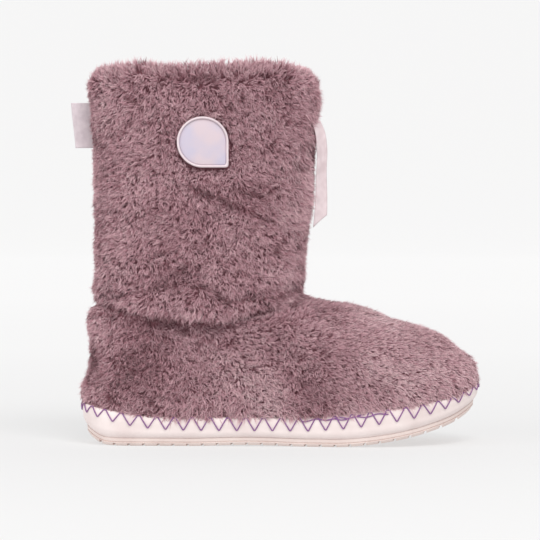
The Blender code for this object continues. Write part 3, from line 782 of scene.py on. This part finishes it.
# Slow unevenness: height, wavelength in metres and seed of each noise, then the spread from tuft to tuft
furNoise = dict(
    edge=[(0.0034, 0.03, 21), (0.0014, 0.006, 22)], turn=[(0.55, 0.034, 3), (0.5, 0.010, 4)],
    lift=[(11, 0.012, 5)], tipLift=[(8, 0.008, 9)], length=[(0.12, 0.02, 6), (0.12, 0.0075, 16)],
    ragged=[(0.5, 0.007, 31)], tone=[(0.08, 0.040, 7)],
)
furSpread = dict(
    turn=0.45, lift=9, tipLift=12, length=0.10, tone=0.07, strandTone=0.12, curl=0.55, wild=0.18, tipWild=0.2,
)


def sampleGrid(grid, row, column):
    # bilinear reading of a closed grid at fractional rows and columns
    low, left = np.floor(row).astype(int), np.floor(column).astype(int)
    low = np.clip(low, 0, len(grid) - 2)
    up, side = row - low, column - left
    if grid.ndim == 3:
        up, side = up[:, None], side[:, None]
    right = (left + 1) % grid.shape[1]
    left = left % grid.shape[1]
    bottom = grid[low, left] * (1 - side) + grid[low, right] * side
    top = grid[low + 1, left] * (1 - side) + grid[low + 1, right] * side
    return bottom * (1 - up) + top * up


def scatter(grid, pitch, rng):
    # places on the grid, spread evenly by area
    along = np.roll(grid, -1, axis=1) - grid
    up = grid[1:] - grid[:-1]
    area = np.linalg.norm(np.cross(along[:-1], up), axis=2).ravel()
    count = int(area.sum() / pitch**2)
    run = np.cumsum(area) / area.sum()
    cell = np.searchsorted(run, (np.arange(count) + rng.random(count)) / count)
    cell = np.minimum(cell, len(area) - 1)
    row, column = np.divmod(cell, grid.shape[1])
    return row + rng.random(count), column + rng.random(count)


def bladeMesh(name, root, middle, tip, across, tone, material, slot="fur"):
    # each strand is two triangles, from a fine root to its broad middle and on to a fine tip
    count = len(root)
    points = np.stack([root, middle - across, middle + across, tip], axis=1)
    corners = np.arange(count)[:, None] * 4 + np.array([[0, 2, 1, 1, 2, 3]])
    mesh = bpy.data.meshes.new(name)
    mesh.vertices.add(count * 4)
    mesh.vertices.foreach_set("co", points.astype(np.float32).ravel())
    mesh.loops.add(count * 6)
    mesh.loops.foreach_set("vertex_index", corners.astype(np.int32).ravel())
    mesh.polygons.add(count * 2)
    mesh.polygons.foreach_set("loop_start", np.arange(0, count * 6, 3, dtype=np.int32))
    mesh.update(calc_edges=True)
    mesh.materials.append(material)
    mesh.shade_smooth()
    layer = mesh.uv_layers.new(name="OFBake")
    u = 0.02 + 0.94 * tone[:, None] + np.array([[0.01, 0.02, 0.0, 0.0, 0.02, 0.01]])
    v = np.array([[0.02, 0.5, 0.5, 0.5, 0.5, 0.98]]).repeat(count, axis=0)
    layer.data.foreach_set("uv", np.stack([u, v], axis=2).astype(np.float32).ravel())
    piece = addObject(name, mesh)
    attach(piece, "root")
    return piece


def makeFleece(lining):
    # short curls on the inside of the shaft, where the collar lets it be seen
    rng = np.random.default_rng(fleecePile["seed"])
    grid = lining[int(fleecePile["start"] * len(lining)):-2]
    row, column = scatter(grid, fleecePile["pitch"], rng)
    home, count = sampleGrid(grid, row, column), len(row)
    up = -unit(sampleGrid(gridNormals(grid), row, column))
    lay = unit(np.cross(up, rng.normal(0, 1, (count, 3))) - np.array([0.0, 0.0, 0.5]))
    size = fleecePile["length"] * rng.uniform(0.7, 1.2, (count, 1))
    middle = home + unit(up + 0.5 * lay) * size * 0.5
    tip = middle + unit(0.5 * up + lay + rng.normal(0, 0.3, (count, 3))) * size * 0.5
    across = unit(np.cross(tip - home, up + 0.4 * rng.normal(0, 1, (count, 3)))) * fleecePile["halfWidth"]
    tone = np.clip(0.34 + 0.10 * smoothNoise(home, 0.008, 41) + rng.normal(0, 0.10, count), 0, 1)
    bladeMesh("liningPile", home, middle, tip, across, tone, furMaterial(), "fleece")
    print("lining pile:", 2 * count, "triangles")


def noiseSum(points, rows):
    # each row's noise at its own height, all added
    return sum(height * smoothNoise(points, scale, seed) for height, scale, seed in rows)


def alongSurface(vectors, normals):
    # what is left of each vector when its part along the normal is taken off
    return unit(vectors - normals * np.sum(vectors * normals, axis=1, keepdims=True))


def furAreas(home, climbed):
    # weights from 0 to 1: up over the collar, on top of the foot, at the sole's rim, beside the ribbon
    edge = strands["rimBand"] + noiseSum(home, furNoise["edge"])
    over = ease(climbed, -edge - 0.0050, -edge + 0.0045)
    calm = ease(home[:, 0], furPlaces["footFrom"], furPlaces["footTo"])
    calm = calm * ease(-home[:, 2], -furPlaces["footHigh"], -furPlaces["footLow"])
    nearSole = np.exp(-np.clip(home[:, 2] - sideLines(home[:, 0])[1], 0, 1) / furPlaces["rimReach"])
    return over, calm, nearSole, besideRibbon(home)


def combFur(home, up, fall, areas, rng):
    # down the shaft, turned by noise and away from the middle, up over the collar, forward on the foot
    over, calm, nearSole, beside = areas
    turn = noiseSum(home, furNoise["turn"]) * (1 - 0.4 * over)
    away = np.tanh((home[:, 0] - furPlaces["middle"]) / furPlaces["middleReach"])
    turn = turn + 0.5 * away * np.tanh(-home[:, 1] / 0.01)
    turn = turn * (1 - 0.5 * calm) + rng.normal(0, furSpread["turn"], len(home)) * (1 - 0.35 * calm)
    lay = fall * (np.cos(turn) * (1 - 2 * over))[:, None] + np.cross(up, fall) * np.sin(turn)[:, None]
    forward = 2.0 * beside + 1.1 * calm * (1 - 0.75 * nearSole)
    lay = lay + np.stack([forward, -0.4 * beside, 0 * beside], axis=1)
    return alongSurface(unit(lay + 1e-6), up)


def furForm(home, areas, crease, rng):
    # length of each tuft, and how steeply its lower half and its tip stand up, in radians
    over, calm, nearSole, beside = areas
    steady = 1 - 0.5 * over
    lift, tipLift = (
        strands[key] + noiseSum(home, furNoise[key]) + rng.normal(0, furSpread[key], len(home)) * steady
        for key in ("lift", "tipLift")
    )
    gain = 1
    for key, weight in (("collar", over), ("ribbon", beside), ("foot", calm)):
        longer, higher, tipHigher = furChanges[key]
        gain, lift, tipLift = gain + longer * weight, lift + higher * weight, tipLift + tipHigher * weight
    lift, tipLift = np.radians(lift), np.radians(tipLift)
    rough = noiseSum(home, furNoise["length"]) + spotSum(home, tuftRows)
    long = strands["length"] * (1 + rough + rng.normal(0, furSpread["length"], len(home)))
    long *= gain * (1 - 0.35 * over * shaftEnd(home) ** 6)

    # long and flat over the ribbon's sewn end
    hide = overRibbon(home)
    long *= 1 + 0.6 * hide
    lift, tipLift = lift - 0.30 * hide, tipLift - 0.60 * hide

    # at the sole's rim it stands out past the band and then hangs down, longest at the waist
    waist = bell(home[:, 0], furPlaces["waist"], furPlaces["waistReach"])
    hanging = ease(home[:, 0], furPlaces["hangFrom"], furPlaces["hangTo"])
    longer, higher, tipHigher = (
        nearSole * (base + hung * hanging + slack * waist) for base, hung, slack in rimChanges.values()
    )
    long *= 1 + longer * (1 + noiseSum(home, furNoise["ragged"]))
    lift, tipLift = lift + higher, tipLift + tipHigher

    # short round the trim, long on the crease's lip and short under it
    above, strength = crease
    long *= np.where(underTrim(home, strands["trimShort"]), 0.82, 1.0)
    for middle, reach, longer in creaseLength:
        long *= 1 + strength * longer * bell(above, middle, reach)
    return long, lift, tipLift


def furToneAndShading(home, areas, crease, rng):
    # 0 dark to 1 light: noise, painted shade in folds, listed lighter and darker areas that are partly
    #                    painted light and shade, partings of painted shade, painted rim light at the collar
    #                    and the sole's rim, painted shade and light round the crease, and thin partings of
    #                    painted shade where a noise is 0
    over, calm, nearSole, _ = areas
    above, strength = crease
    fine = toneAndShading["fine"] + (toneAndShading["calmFine"] - toneAndShading["fine"]) * calm
    tone = toneAndShading["base"] + noiseSum(home, furNoise["tone"]) + fine * smoothNoise(home, 0.006, 8)
    # random spread from tuft to tuft, and painted shade in the folds
    tone += rng.normal(0, furSpread["tone"], len(home)) + toneAndShading["fold"] * foldDepth(home)
    # painted rim light: lighter up over the collar and along the sole's rim
    tone += toneAndShading["collar"] * over + toneAndShading["rim"] * nearSole
    # listed lighter and darker areas, partly painted light and shade, less the painted shade of the partings
    tone += spotSum(home, patchRows) - partingShade(home)
    # painted shade in the crease and painted light on the lip above it
    tone += strength * sum(lighter * bell(above, middle, reach) for middle, reach, lighter in creaseShading)
    # thin partings of painted shade
    thin = bell(smoothNoise(home, 0.015, 51), 0, toneAndShading["partingReach"])
    thin = thin * ease(smoothNoise(home, 0.032, 52), -0.1, 0.4) * (1 - 0.6 * calm)
    return tone + toneAndShading["parting"] * thin


def makeFur(grid, crestRow):
    rng = np.random.default_rng(strands["seed"])
    steps = np.linalg.norm(np.diff(grid, axis=0), axis=2)
    climb = np.concatenate([np.zeros((1, grid.shape[1])), np.cumsum(steps, axis=0)])
    row, column = scatter(grid, strands["pitch"], rng)
    keep = ~underTrim(sampleGrid(grid, row, column), strands["trimGap"])
    row, column = row[keep], column[keep]
    home = sampleGrid(grid, row, column)
    up = unit(sampleGrid(gridNormals(grid), row, column))
    fall = alongSurface(sampleGrid(unit(-np.gradient(grid, axis=0)), row, column), up)
    areas = furAreas(home, sampleGrid(climb - climb[crestRow - 1], row, column))
    over, calm = areas[:2]
    lay = combFur(home, up, fall, areas, rng)
    crease = creaseStrength(home)
    long, lift, tipLift = furForm(home, areas, crease, rng)
    home = home - up * creaseDepth(home)[:, None]
    tone = furToneAndShading(home, areas, crease, rng)

    # roots scattered round the tuft's middle, the broad middle at the lift, the tip at its own with a curl
    def aim(angle):
        return up[:, None] * np.sin(angle)[:, None, None] + lay[:, None] * np.cos(angle)[:, None, None]

    shape = len(home), strands["perTuft"]
    cross = np.cross(up, lay)
    angle = rng.uniform(0, 2 * math.pi, shape)
    reach = strands["spread"] * (1 + 0.6 * calm[:, None]) * np.sqrt(rng.random(shape))
    off = (reach * np.cos(angle))[..., None] * cross[:, None]
    off = off + (reach * np.sin(angle))[..., None] * lay[:, None]
    wild = rng.normal(0, 1, (*shape, 3)) * (1 - 0.4 * over)[:, None, None]
    curl = rng.normal(0, furSpread["curl"], (len(home), 1, 1)) * (1 - 0.5 * calm[:, None, None])
    size = (long[:, None] * rng.uniform(0.72, 1.15, shape))[..., None]
    draw = 0.5 * strands["pinch"] * (1 - calm)[:, None, None] * off
    root = home[:, None] + off
    middle = root + unit(aim(lift) + furSpread["wild"] * wild) * size * 0.5 - draw
    bent = aim(tipLift) + curl * cross[:, None] + furSpread["tipWild"] * wild[..., ::-1]
    tip = middle + unit(bent) * size * 0.5 - draw
    width = strands["width"] * rng.uniform(0.7, 1.2, shape)[..., None]
    across = unit(np.cross(tip - root, up[:, None] + 0.5 * wild)) * width / 2
    tone = np.clip(tone[:, None] + rng.normal(0, furSpread["strandTone"], shape), 0, 1).ravel()

    arrays = [array.reshape(-1, 3) for array in (root, middle, tip, across)]
    material = furMaterial()
    share = -(-len(tone) // strands["pieces"])
    for n in range(strands["pieces"]):
        part = slice(n * share, (n + 1) * share)
        bladeMesh(f"fur{n + 1}", *[array[part] for array in arrays], tone[part], material)
    print("fur:", len(home), "tufts,", len(tone), "strands,", 2 * len(tone), "triangles")


# Sole
sole = dict(
    around=360, lap=0.0006, treadDepth=0.0016, treadGroove=0.0020, treadPitch=0.0098, treadPoint=0.0075,
    treadFrom=0.04, treadTo=0.97,
)

# Side of the band and of the tread: share of its height, and inset
midsoleRows = [
    (0.00, 0.0042), (0.04, 0.0037), (0.07, 0.0029), (0.10, 0.0023), (0.20, 0.0013),
    (0.45, 0.0005), (0.75, 0.0000), (0.90, 0.0003), (0.96, 0.0007), (0.99, 0.0013), (1.00, 0.0022),
]
outsoleRows = [
    (0.00, 0.0058), (0.08, 0.0050), (0.22, 0.0042), (0.34, 0.0038), (0.43, 0.0037), (0.48, 0.0043),
    (0.53, 0.0041), (0.58, 0.0037), (0.70, 0.0035), (0.90, 0.0034), (0.96, 0.0034), (1.00, 0.0036),
]


def midsoleRing(share, inset):
    # a share of the way from the tread's top to the seat line
    ring = soleRing(inset, sole["around"])
    tread, seat = sideLines(ring[:, 0])
    low = tread + boot["outsoleThickness"] + boot["clearance"]
    ring[:, 2] = low + (seat - low) * share
    return ring


def outsoleRing(share, inset):
    # a share of the tread's thickness above the floor line
    ring = soleRing(inset, sole["around"])
    ring[:, 2] = sideLines(ring[:, 0])[0] + (boot["outsoleThickness"] + sole["lap"]) * share
    return ring


def makeLayer(name, node, ringAt, rows, levels, material, sharp):
    # the sole's outline at each level, as far in as the rows say, closed above and below
    shares = np.linspace(0, 1, levels)
    rings = np.array([ringAt(*pair) for pair in zip(shares, readRows(rows, shares)[:, 0])])
    piece = newPiece(name, rings, cappedFaces(rings), material)
    if node == "outsole":
        cutGrooves(piece)
    piece.data.set_sharp_from_angle(angle=math.radians(sharp))
    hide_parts(node)
    print(name + ":", len(piece.data.polygons), "faces")


def grooveBars():
    # pointed bars across the sole, one pitch apart, as the solid has them
    points, faces = [], []
    reach, width, pitch, point = (
        0.75 * boot["ballWidth"], sole["treadGroove"], sole["treadPitch"], sole["treadPoint"],
    )
    back = sole["treadFrom"] * boot["soleLength"] - boot["heelOverhang"]
    ahead = sole["treadTo"] * boot["soleLength"] - boot["heelOverhang"]
    for place in np.arange((math.ceil(back / pitch) - 0.5) * pitch - point, ahead, pitch):
        base = len(points)
        for y, forward in ((-reach, 0), (0, point), (reach, 0)):
            for x in (place + forward - width / 2, place + forward + width / 2):
                floor = float(sideLines(x)[0])
                points += [(x, y, floor - 0.02), (x, y, floor + sole["treadDepth"])]
        for a in (base, base + 4):
            b, c, d, e, f, g, h = range(a + 1, a + 8)
            faces += [(a, e, f, b), (d, h, g, c), (b, f, h, d), (c, g, e, a)]
        faces += [(base, base + 1, base + 3, base + 2), (base + 8, base + 10, base + 11, base + 9)]
    return points, faces


def cutGrooves(piece):
    # the bars are taken out of the tread, and the result is its mesh
    points, faces = grooveBars()
    mesh = bpy.data.meshes.new("grooveBars")
    mesh.from_pydata(points, [], faces)
    solid = bmesh.new()
    solid.from_mesh(mesh)
    bmesh.ops.recalc_face_normals(solid, faces=solid.faces)
    solid.to_mesh(mesh)
    solid.free()
    bars = addObject("grooveBars", mesh)
    cut = piece.modifiers.new("tread grooves", "BOOLEAN")
    cut.operation, cut.solver, cut.object = "DIFFERENCE", "EXACT", bars
    bpy.context.view_layer.update()
    carved = bpy.data.meshes.new_from_object(piece.evaluated_get(bpy.context.evaluated_depsgraph_get()))
    piece.modifiers.clear()
    piece.data = carved
    bpy.data.objects.remove(bars)


def makeSole():
    band = rubberMaterial("palePinkRubber", (229, 213, 210), (241, 228, 225), 0.5)
    makeLayer("midsoleBand", "midsole", midsoleRing, midsoleRows, 26, band, 50)
    tread = rubberMaterial("beigePinkTread", (221, 202, 196), (233, 217, 211), 0.62)
    makeLayer("outsoleTread", "outsole", outsoleRing, outsoleRows, 30, tread, 40)


# Stitching that holds the fur to the band
stitch = dict(
    pitch=0.01175, thread=0.00082, sides=8, points=30, slope=0.86, tip=0.12, hidden=0.0005, off=0.45,
    looseFrom=0.106, looseTo=0.163,
)

# How far the zigzag's lower tips hang under the seat line, along the sole
stitchRows = [
    (0.00, 0.0060), (0.10, 0.0078), (0.22, 0.0090), (0.50, 0.0094), (0.78, 0.0094), (0.88, 0.0078),
    (0.94, 0.0058), (1.00, 0.0036),
]

# The loose ends: from and to as shares of their stretch, drop under the seat line, phase of their wave
looseRows = [(0.0, 0.72, 0.0020, 0.0), (0.30, 1.0, 0.0027, 1.7)]


def tube(path, closed):
    # rings of points around a path, in the plane across it
    ahead = unit(np.roll(path, -1, axis=0) - np.roll(path, 1, axis=0))
    across = unit(np.cross(ahead, np.array([0.0, 0.0, 1.0]) + 0.01 * ahead[:, ::-1]))
    other = np.cross(ahead, across)
    turn = np.linspace(0, 2 * math.pi, stitch["sides"], endpoint=False)[:, None]
    rings = across[:, None] * np.cos(turn) + other[:, None] * np.sin(turn)
    rings = path[:, None] + stitch["thread"] / 2 * rings
    return rings, gridFaces(len(path), stitch["sides"], closeRows=closed)


def bandPoint(run, share, off=0.0):
    # a point on the band's side: run along the outline, share up the band, off it in thread widths
    inset = readRows(midsoleRows, share)[:, 0] - off * stitch["thread"]
    plain = soleRing(0.0, sole["around"])
    step = np.linalg.norm(np.roll(plain, -1, axis=0) - plain, axis=1)
    where = np.concatenate([[0], np.cumsum(step)])
    ahead = np.roll(plain, -1, axis=0) - np.roll(plain, 1, axis=0)
    at = np.mod(run, where[-1])
    spot, tangent = (
        np.stack([np.interp(at, where, np.append(ring[:, axis], ring[0, axis])) for axis in (0, 1)], axis=1)
        for ring in (plain, ahead)
    )
    tangent = unit(tangent)
    spot = spot + inset[:, None] * np.stack([-tangent[:, 1], tangent[:, 0]], axis=1)
    tread, seat = sideLines(spot[:, 0])
    low = tread + boot["outsoleThickness"] + boot["clearance"]
    return np.column_stack([spot, low + (seat - low) * share]), where[-1]


def threadPiece(name, rings, faces, along):
    # along the map's width by place on the thread, up it round the thread
    sides = stitch["sides"]
    rings = np.reshape(rings, (-1, sides, 3))
    piece = newPiece(name, rings, faces, threadMaterial())
    circle = np.tile(np.linspace(0.02, 0.98, sides), len(rings))
    addUv(piece, np.stack([np.repeat(along * 0.96 + 0.02, sides), circle], axis=1))


def makeThread():
    # the zigzag runs round the band, with a short flat run where its legs meet under the fur
    _, total = bandPoint(np.zeros(1), np.zeros(1))
    count = round(total / stitch["pitch"])
    t = np.arange(count * stitch["points"]) / stitch["points"]
    phase, tip = np.mod(t, 1), stitch["tip"]
    wave = np.clip(np.abs(2 * phase - 1) / stitch["slope"], 0, 1)
    wave = np.where(wave < tip, tip / 2 + wave**2 / (2 * tip), wave)
    run = t * total / count
    spot, _ = bandPoint(run, np.full(len(run), 0.6))
    along = (spot[:, 0] + boot["heelOverhang"]) / boot["soleLength"]
    tread, seat = sideLines(spot[:, 0])
    high = seat - tread - boot["outsoleThickness"]
    drop = readRows(stitchRows, along)[:, 0] * (1 - wave) + stitch["hidden"] * wave
    path, _ = bandPoint(run, np.clip(1 - drop / high, 0, 1), stitch["off"])
    threadPiece("zigzagThread", *tube(path, True), phase)

    # the thread's ends, laid along the fur's edge on the outer side
    half = len(run) // 2
    first, last = np.interp((stitch["looseFrom"], stitch["looseTo"]), spot[:half, 0], run[:half])
    rings, faces = [], []
    for start, end, low, shift in looseRows:
        at = first + (last - first) * np.linspace(start, end, 90)
        drop = low + 0.0006 * np.sin(at * 420 + shift)
        place, _ = bandPoint(at, 1 - drop / np.interp(at, run, high), stitch["off"])
        circle, quads = tube(place, False)
        faces += (quads + len(rings) * stitch["sides"]).tolist()
        rings += list(circle)
    threadPiece("threadEnds", rings, faces, np.full(len(rings), 0.5))
    print("zigzag thread:", count, "stitches and", len(looseRows), "loose ends")


# Insole: share of its thickness, and inset
insoleRows = [(0.0, 0.0012), (0.5, 0.0018), (0.85, 0.0026), (1.0, 0.0042)]
insoleThickness = 0.0035


def makeInsole(lining):
    # the lining's lowest ring, set in step by step towards the top
    rings = np.array([insetRing(lining[0], inset) for _, inset in insoleRows])
    share = np.array(insoleRows)[:, :1]
    rings[..., 2] = sideLines(rings[..., 0])[1] + boot["clearance"] + share * insoleThickness
    piece = newPiece("fleeceInsole", rings, cappedFaces(rings), fleeceMaterial())
    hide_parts("insole")
    print("insole padded")


# Badge, label and ribbon
def sidePoint(x, z, away):
    # a point off the outer side of the shaft, by a distance along its normal
    back, front, half = shaftSize(z)
    nudge = 0.0005
    before, y, after = (-half * ovalWidth((x + step - back) / (front - back)) for step in (-nudge, 0, nudge))
    slope = (after - before) / (2 * nudge)
    length = np.hypot(slope, 1)
    return np.stack([x + away * slope / length, y - away / length, z + 0 * x], axis=-1)


def badgeGrid(profile):
    # rows are (radius, distance off the fur), columns run round the outline
    turn = np.linspace(0, 2 * math.pi, badge["turns"], endpoint=False)
    stretch = badgeStretch(turn)
    rows = []
    for radius, away in profile:
        x = badge["forward"] + radius * stretch * np.cos(turn)
        z = badge["up"] + radius * stretch * np.sin(turn)
        rows.append(sidePoint(x, z, away))
    return np.array(rows)


def makeBadge():
    # the field: up its edge, then a low dome as (1 - share^2.5)^0.6 from its edge to its middle
    turns, inner = badge["turns"], badge["radius"] - badge["rim"]
    share = np.linspace(1, 0.03, 26)
    dome = zip(inner * share, badge["field"] + badge["dome"] * (1 - share**2.5) ** 0.6)
    grid = badgeGrid([(inner, boot["clearance"]), (inner, badge["edge"]), *dome])
    faces = gridFaces(len(grid), turns).tolist()
    faces += [list(range((len(grid) - 1) * turns, len(grid) * turns)), list(range(turns))[::-1]]
    satin = satinMaterial("lilacSatin", (194, 186, 203), (208, 191, 198), 2600, 70.0)
    piece = newPiece("badgeField", grid, faces, satin)
    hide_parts("badge")

    # the rim: an ellipse carried round the outline
    turn = np.linspace(0, 2 * math.pi, 17)[:-1]
    wide, high = badge["rim"] / 2, (badge["thick"] + badge["rise"]) / 2
    away = boot["clearance"] + high + high * np.sin(turn)
    grid = badgeGrid(zip(inner + wide + wide * np.cos(turn), away))
    rim = rubberMaterial("badgeRimRubber", (216, 199, 204), (227, 212, 216), 0.4)
    piece = newPiece("badgeRim", grid, gridFaces(len(grid), turns, closeRows=True), rim)
    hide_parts("badge_rim")
    print("badge and its rim done")


def tapeWall(piece, thickness):
    wall = piece.modifiers.new("tape", "SOLIDIFY")
    wall.thickness, wall.offset = thickness, 0


def makeLabel():
    # a folded tape: straight out, half a circle round the fold and back, with its reach a little wavy
    fold, reach, steps = label["fold"], label["reach"] - label["fold"], 12
    turn = np.linspace(-math.pi / 2, math.pi / 2, steps + 1)
    straight = np.linspace(0, reach, steps)
    out = np.concatenate([straight[:-1], reach + fold * np.cos(turn), straight[-2::-1]])
    across = np.concatenate([np.full(steps - 1, -fold), fold * np.sin(turn), np.full(steps - 1, fold)])
    heights = np.linspace(label["top"] - label["height"], label["top"], 40)
    wave = label["wave"] * np.sin(heights * label["waveTurn"])[:, None] * (out / label["reach"])
    bulge = 1 + label["bulge"] * np.sin(heights * label["bulgeTurn"])[:, None]
    x = shaftSize(heights)[0][:, None] - out * bulge
    points = np.stack([x, across[None] + wave, heights[:, None] + 0 * x], axis=-1)
    faces = gridFaces(len(heights), len(out), closeColumns=False)
    piece = newPiece("backLabel", points, faces, tapeMaterial())
    tapeWall(piece, label["tape"])
    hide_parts("back_label")
    cut = 2 * label["reach"] + label["fold"]
    print("label folded")


# The ribbon's middle: share of its length, forward of the shaft and across it in widths, and turn
ribbonRows = [
    (0.00, 0.02, -1.15, 60), (0.10, 0.24, -1.10, 57), (0.25, 0.38, -1.05, 55), (0.60, 0.38, -1.00, 52),
    (0.85, 0.33, -0.98, 44), (1.00, 0.29, -0.96, 37),
]


def makeRibbon():
    # rows down the ribbon, columns across it, with a slight cup and a slanted cut
    drop, edge = np.linspace(0, 1, 60)[:, None], np.linspace(-0.5, 0.5, 14)[None]
    forward, across, turn = readRows(ribbonRows, drop[:, 0]).T[..., None]
    turn = np.radians(turn)
    cup = ribbon["cup"] * (4 * edge**2 - 1) + ribbon["sway"] * np.sin(drop * 9)
    run = edge * ribbon["width"]
    x = shaftSize(ribbon["top"])[1] + forward * ribbon["width"] + run * np.cos(turn) + cup * np.sin(turn)
    y = across * ribbon["width"] + run * np.sin(turn) - cup * np.cos(turn)
    z = ribbon["top"] - drop * (ribbon["length"] + ribbon["slant"] * (0.5 - edge))
    points = np.stack([x, y, z], axis=-1)
    faces = gridFaces(*points.shape[:2], closeColumns=False)
    satin = satinMaterial("ribbonSatin", (209, 189, 192), (227, 209, 212), 1800)
    piece = newPiece("satinRibbon", points, faces, satin)
    tapeWall(piece, ribbon["tape"])
    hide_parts("ribbon")
    long = ribbon["length"] + ribbon["slant"] / 2
    print("ribbon hung")


# Camera, light and floor
shot = dict(
    pixel=0.0006675, originColumn=142, floorRow=442.5, frame=540, distance=2.4, azimuth=0.0, elevation=2.0,
)
stage = dict(
    half=4.0, front=-5.0, back=5.0, top=5.0, bend=1.2, paper=(0.25, 0.25, 0.25, 1),
    glowReach=5.0, glow=[(0.02, 194), (0.22, 209), (0.45, 215), (0.8, 216), (1.0, 217)],
    sky=(1.0, 0.985, 0.98, 1), skyPower=0.75,
)


def makeCamera():
    # the photo's frame laid on the plane through the boot's middle
    middle = shot["frame"] / 2
    x = (middle - shot["originColumn"]) * shot["pixel"]
    z = (shot["floorRow"] - middle) * shot["pixel"]
    camera = addObject("camera", bpy.data.cameras.new("camera"))
    turn, climb = math.radians(shot["azimuth"]), math.radians(shot["elevation"])
    away = Vector((math.sin(turn) * math.cos(climb), -math.cos(turn) * math.cos(climb), math.sin(climb)))
    camera.location = Vector((x, 0, z)) + away * shot["distance"]
    camera.rotation_euler = (-away).to_track_quat("-Z", "Y").to_euler()
    camera.data.lens = camera.data.sensor_width * shot["distance"] / (shot["frame"] * shot["pixel"])
    bpy.context.scene.camera = camera


def makeLight(name, place, size, power):
    # a square lamp that looks at the boot's middle
    lamp = bpy.data.lights.new(name, "AREA")
    lamp.shape, lamp.size, lamp.energy = "SQUARE", size, power
    thing = addObject(name, lamp)
    thing.location = place
    target = Vector((0.08, 0, 0.1))
    thing.rotation_euler = (target - Vector(place)).to_track_quat("-Z", "Y").to_euler()


def makeStage():
    # flat paper that turns up into a wall by a quarter circle
    back, bend = stage["back"], stage["bend"]
    turn = np.linspace(0, math.pi / 2, 16)
    quarter = zip(back - bend + bend * np.sin(turn), bend - bend * np.cos(turn))
    curve = [(stage["front"], 0.0), *quarter, (back, stage["top"])]
    points = [(x, y, z) for y, z in curve for x in (-stage["half"], stage["half"])]
    mesh = bpy.data.meshes.new("floor")
    mesh.from_pydata(points, [], [(2 * n, 2 * n + 1, 2 * n + 3, 2 * n + 2) for n in range(len(curve) - 1)])
    mesh.shade_smooth()
    addObject("floor", mesh)

    # the paper glows a little more with distance, where the lamps reach it less
    paper = Finish("paleFloor", 0.9, Base_Color=stage["paper"], Emission_Strength=1.0)
    away = paper.add("ShaderNodeSeparateXYZ", {}, paper.objectPoint(), output=1)
    glow = [(place, (value, value, value)) for place, value in stage["glow"]]
    mesh.materials.append(paper.feed(Emission_Color=paper.ramp(away / stage["glowReach"], glow)))

    world = bpy.data.worlds.new("studio")
    bpy.context.scene.world = world
    world.use_nodes = True
    sky = world.node_tree.nodes["Background"].inputs
    sky[0].default_value, sky[1].default_value = stage["sky"], stage["skyPower"]
    makeLight("key", (0.5, -1.3, 1.7), 0.9, 24)
    makeLight("fill", (-1.5, -0.9, 0.8), 1.2, 9)
    bpy.context.scene.view_settings.view_transform = "Standard"
    print("camera, lights and floor set")


makeCamera()
makeStage()
furRings, crestRow, lining = makeSkin()
makeFur(furRings, crestRow)
makeFleece(lining)
makeSole()
makeThread()
makeInsole(lining)
makeBadge()
makeLabel()
makeRibbon()
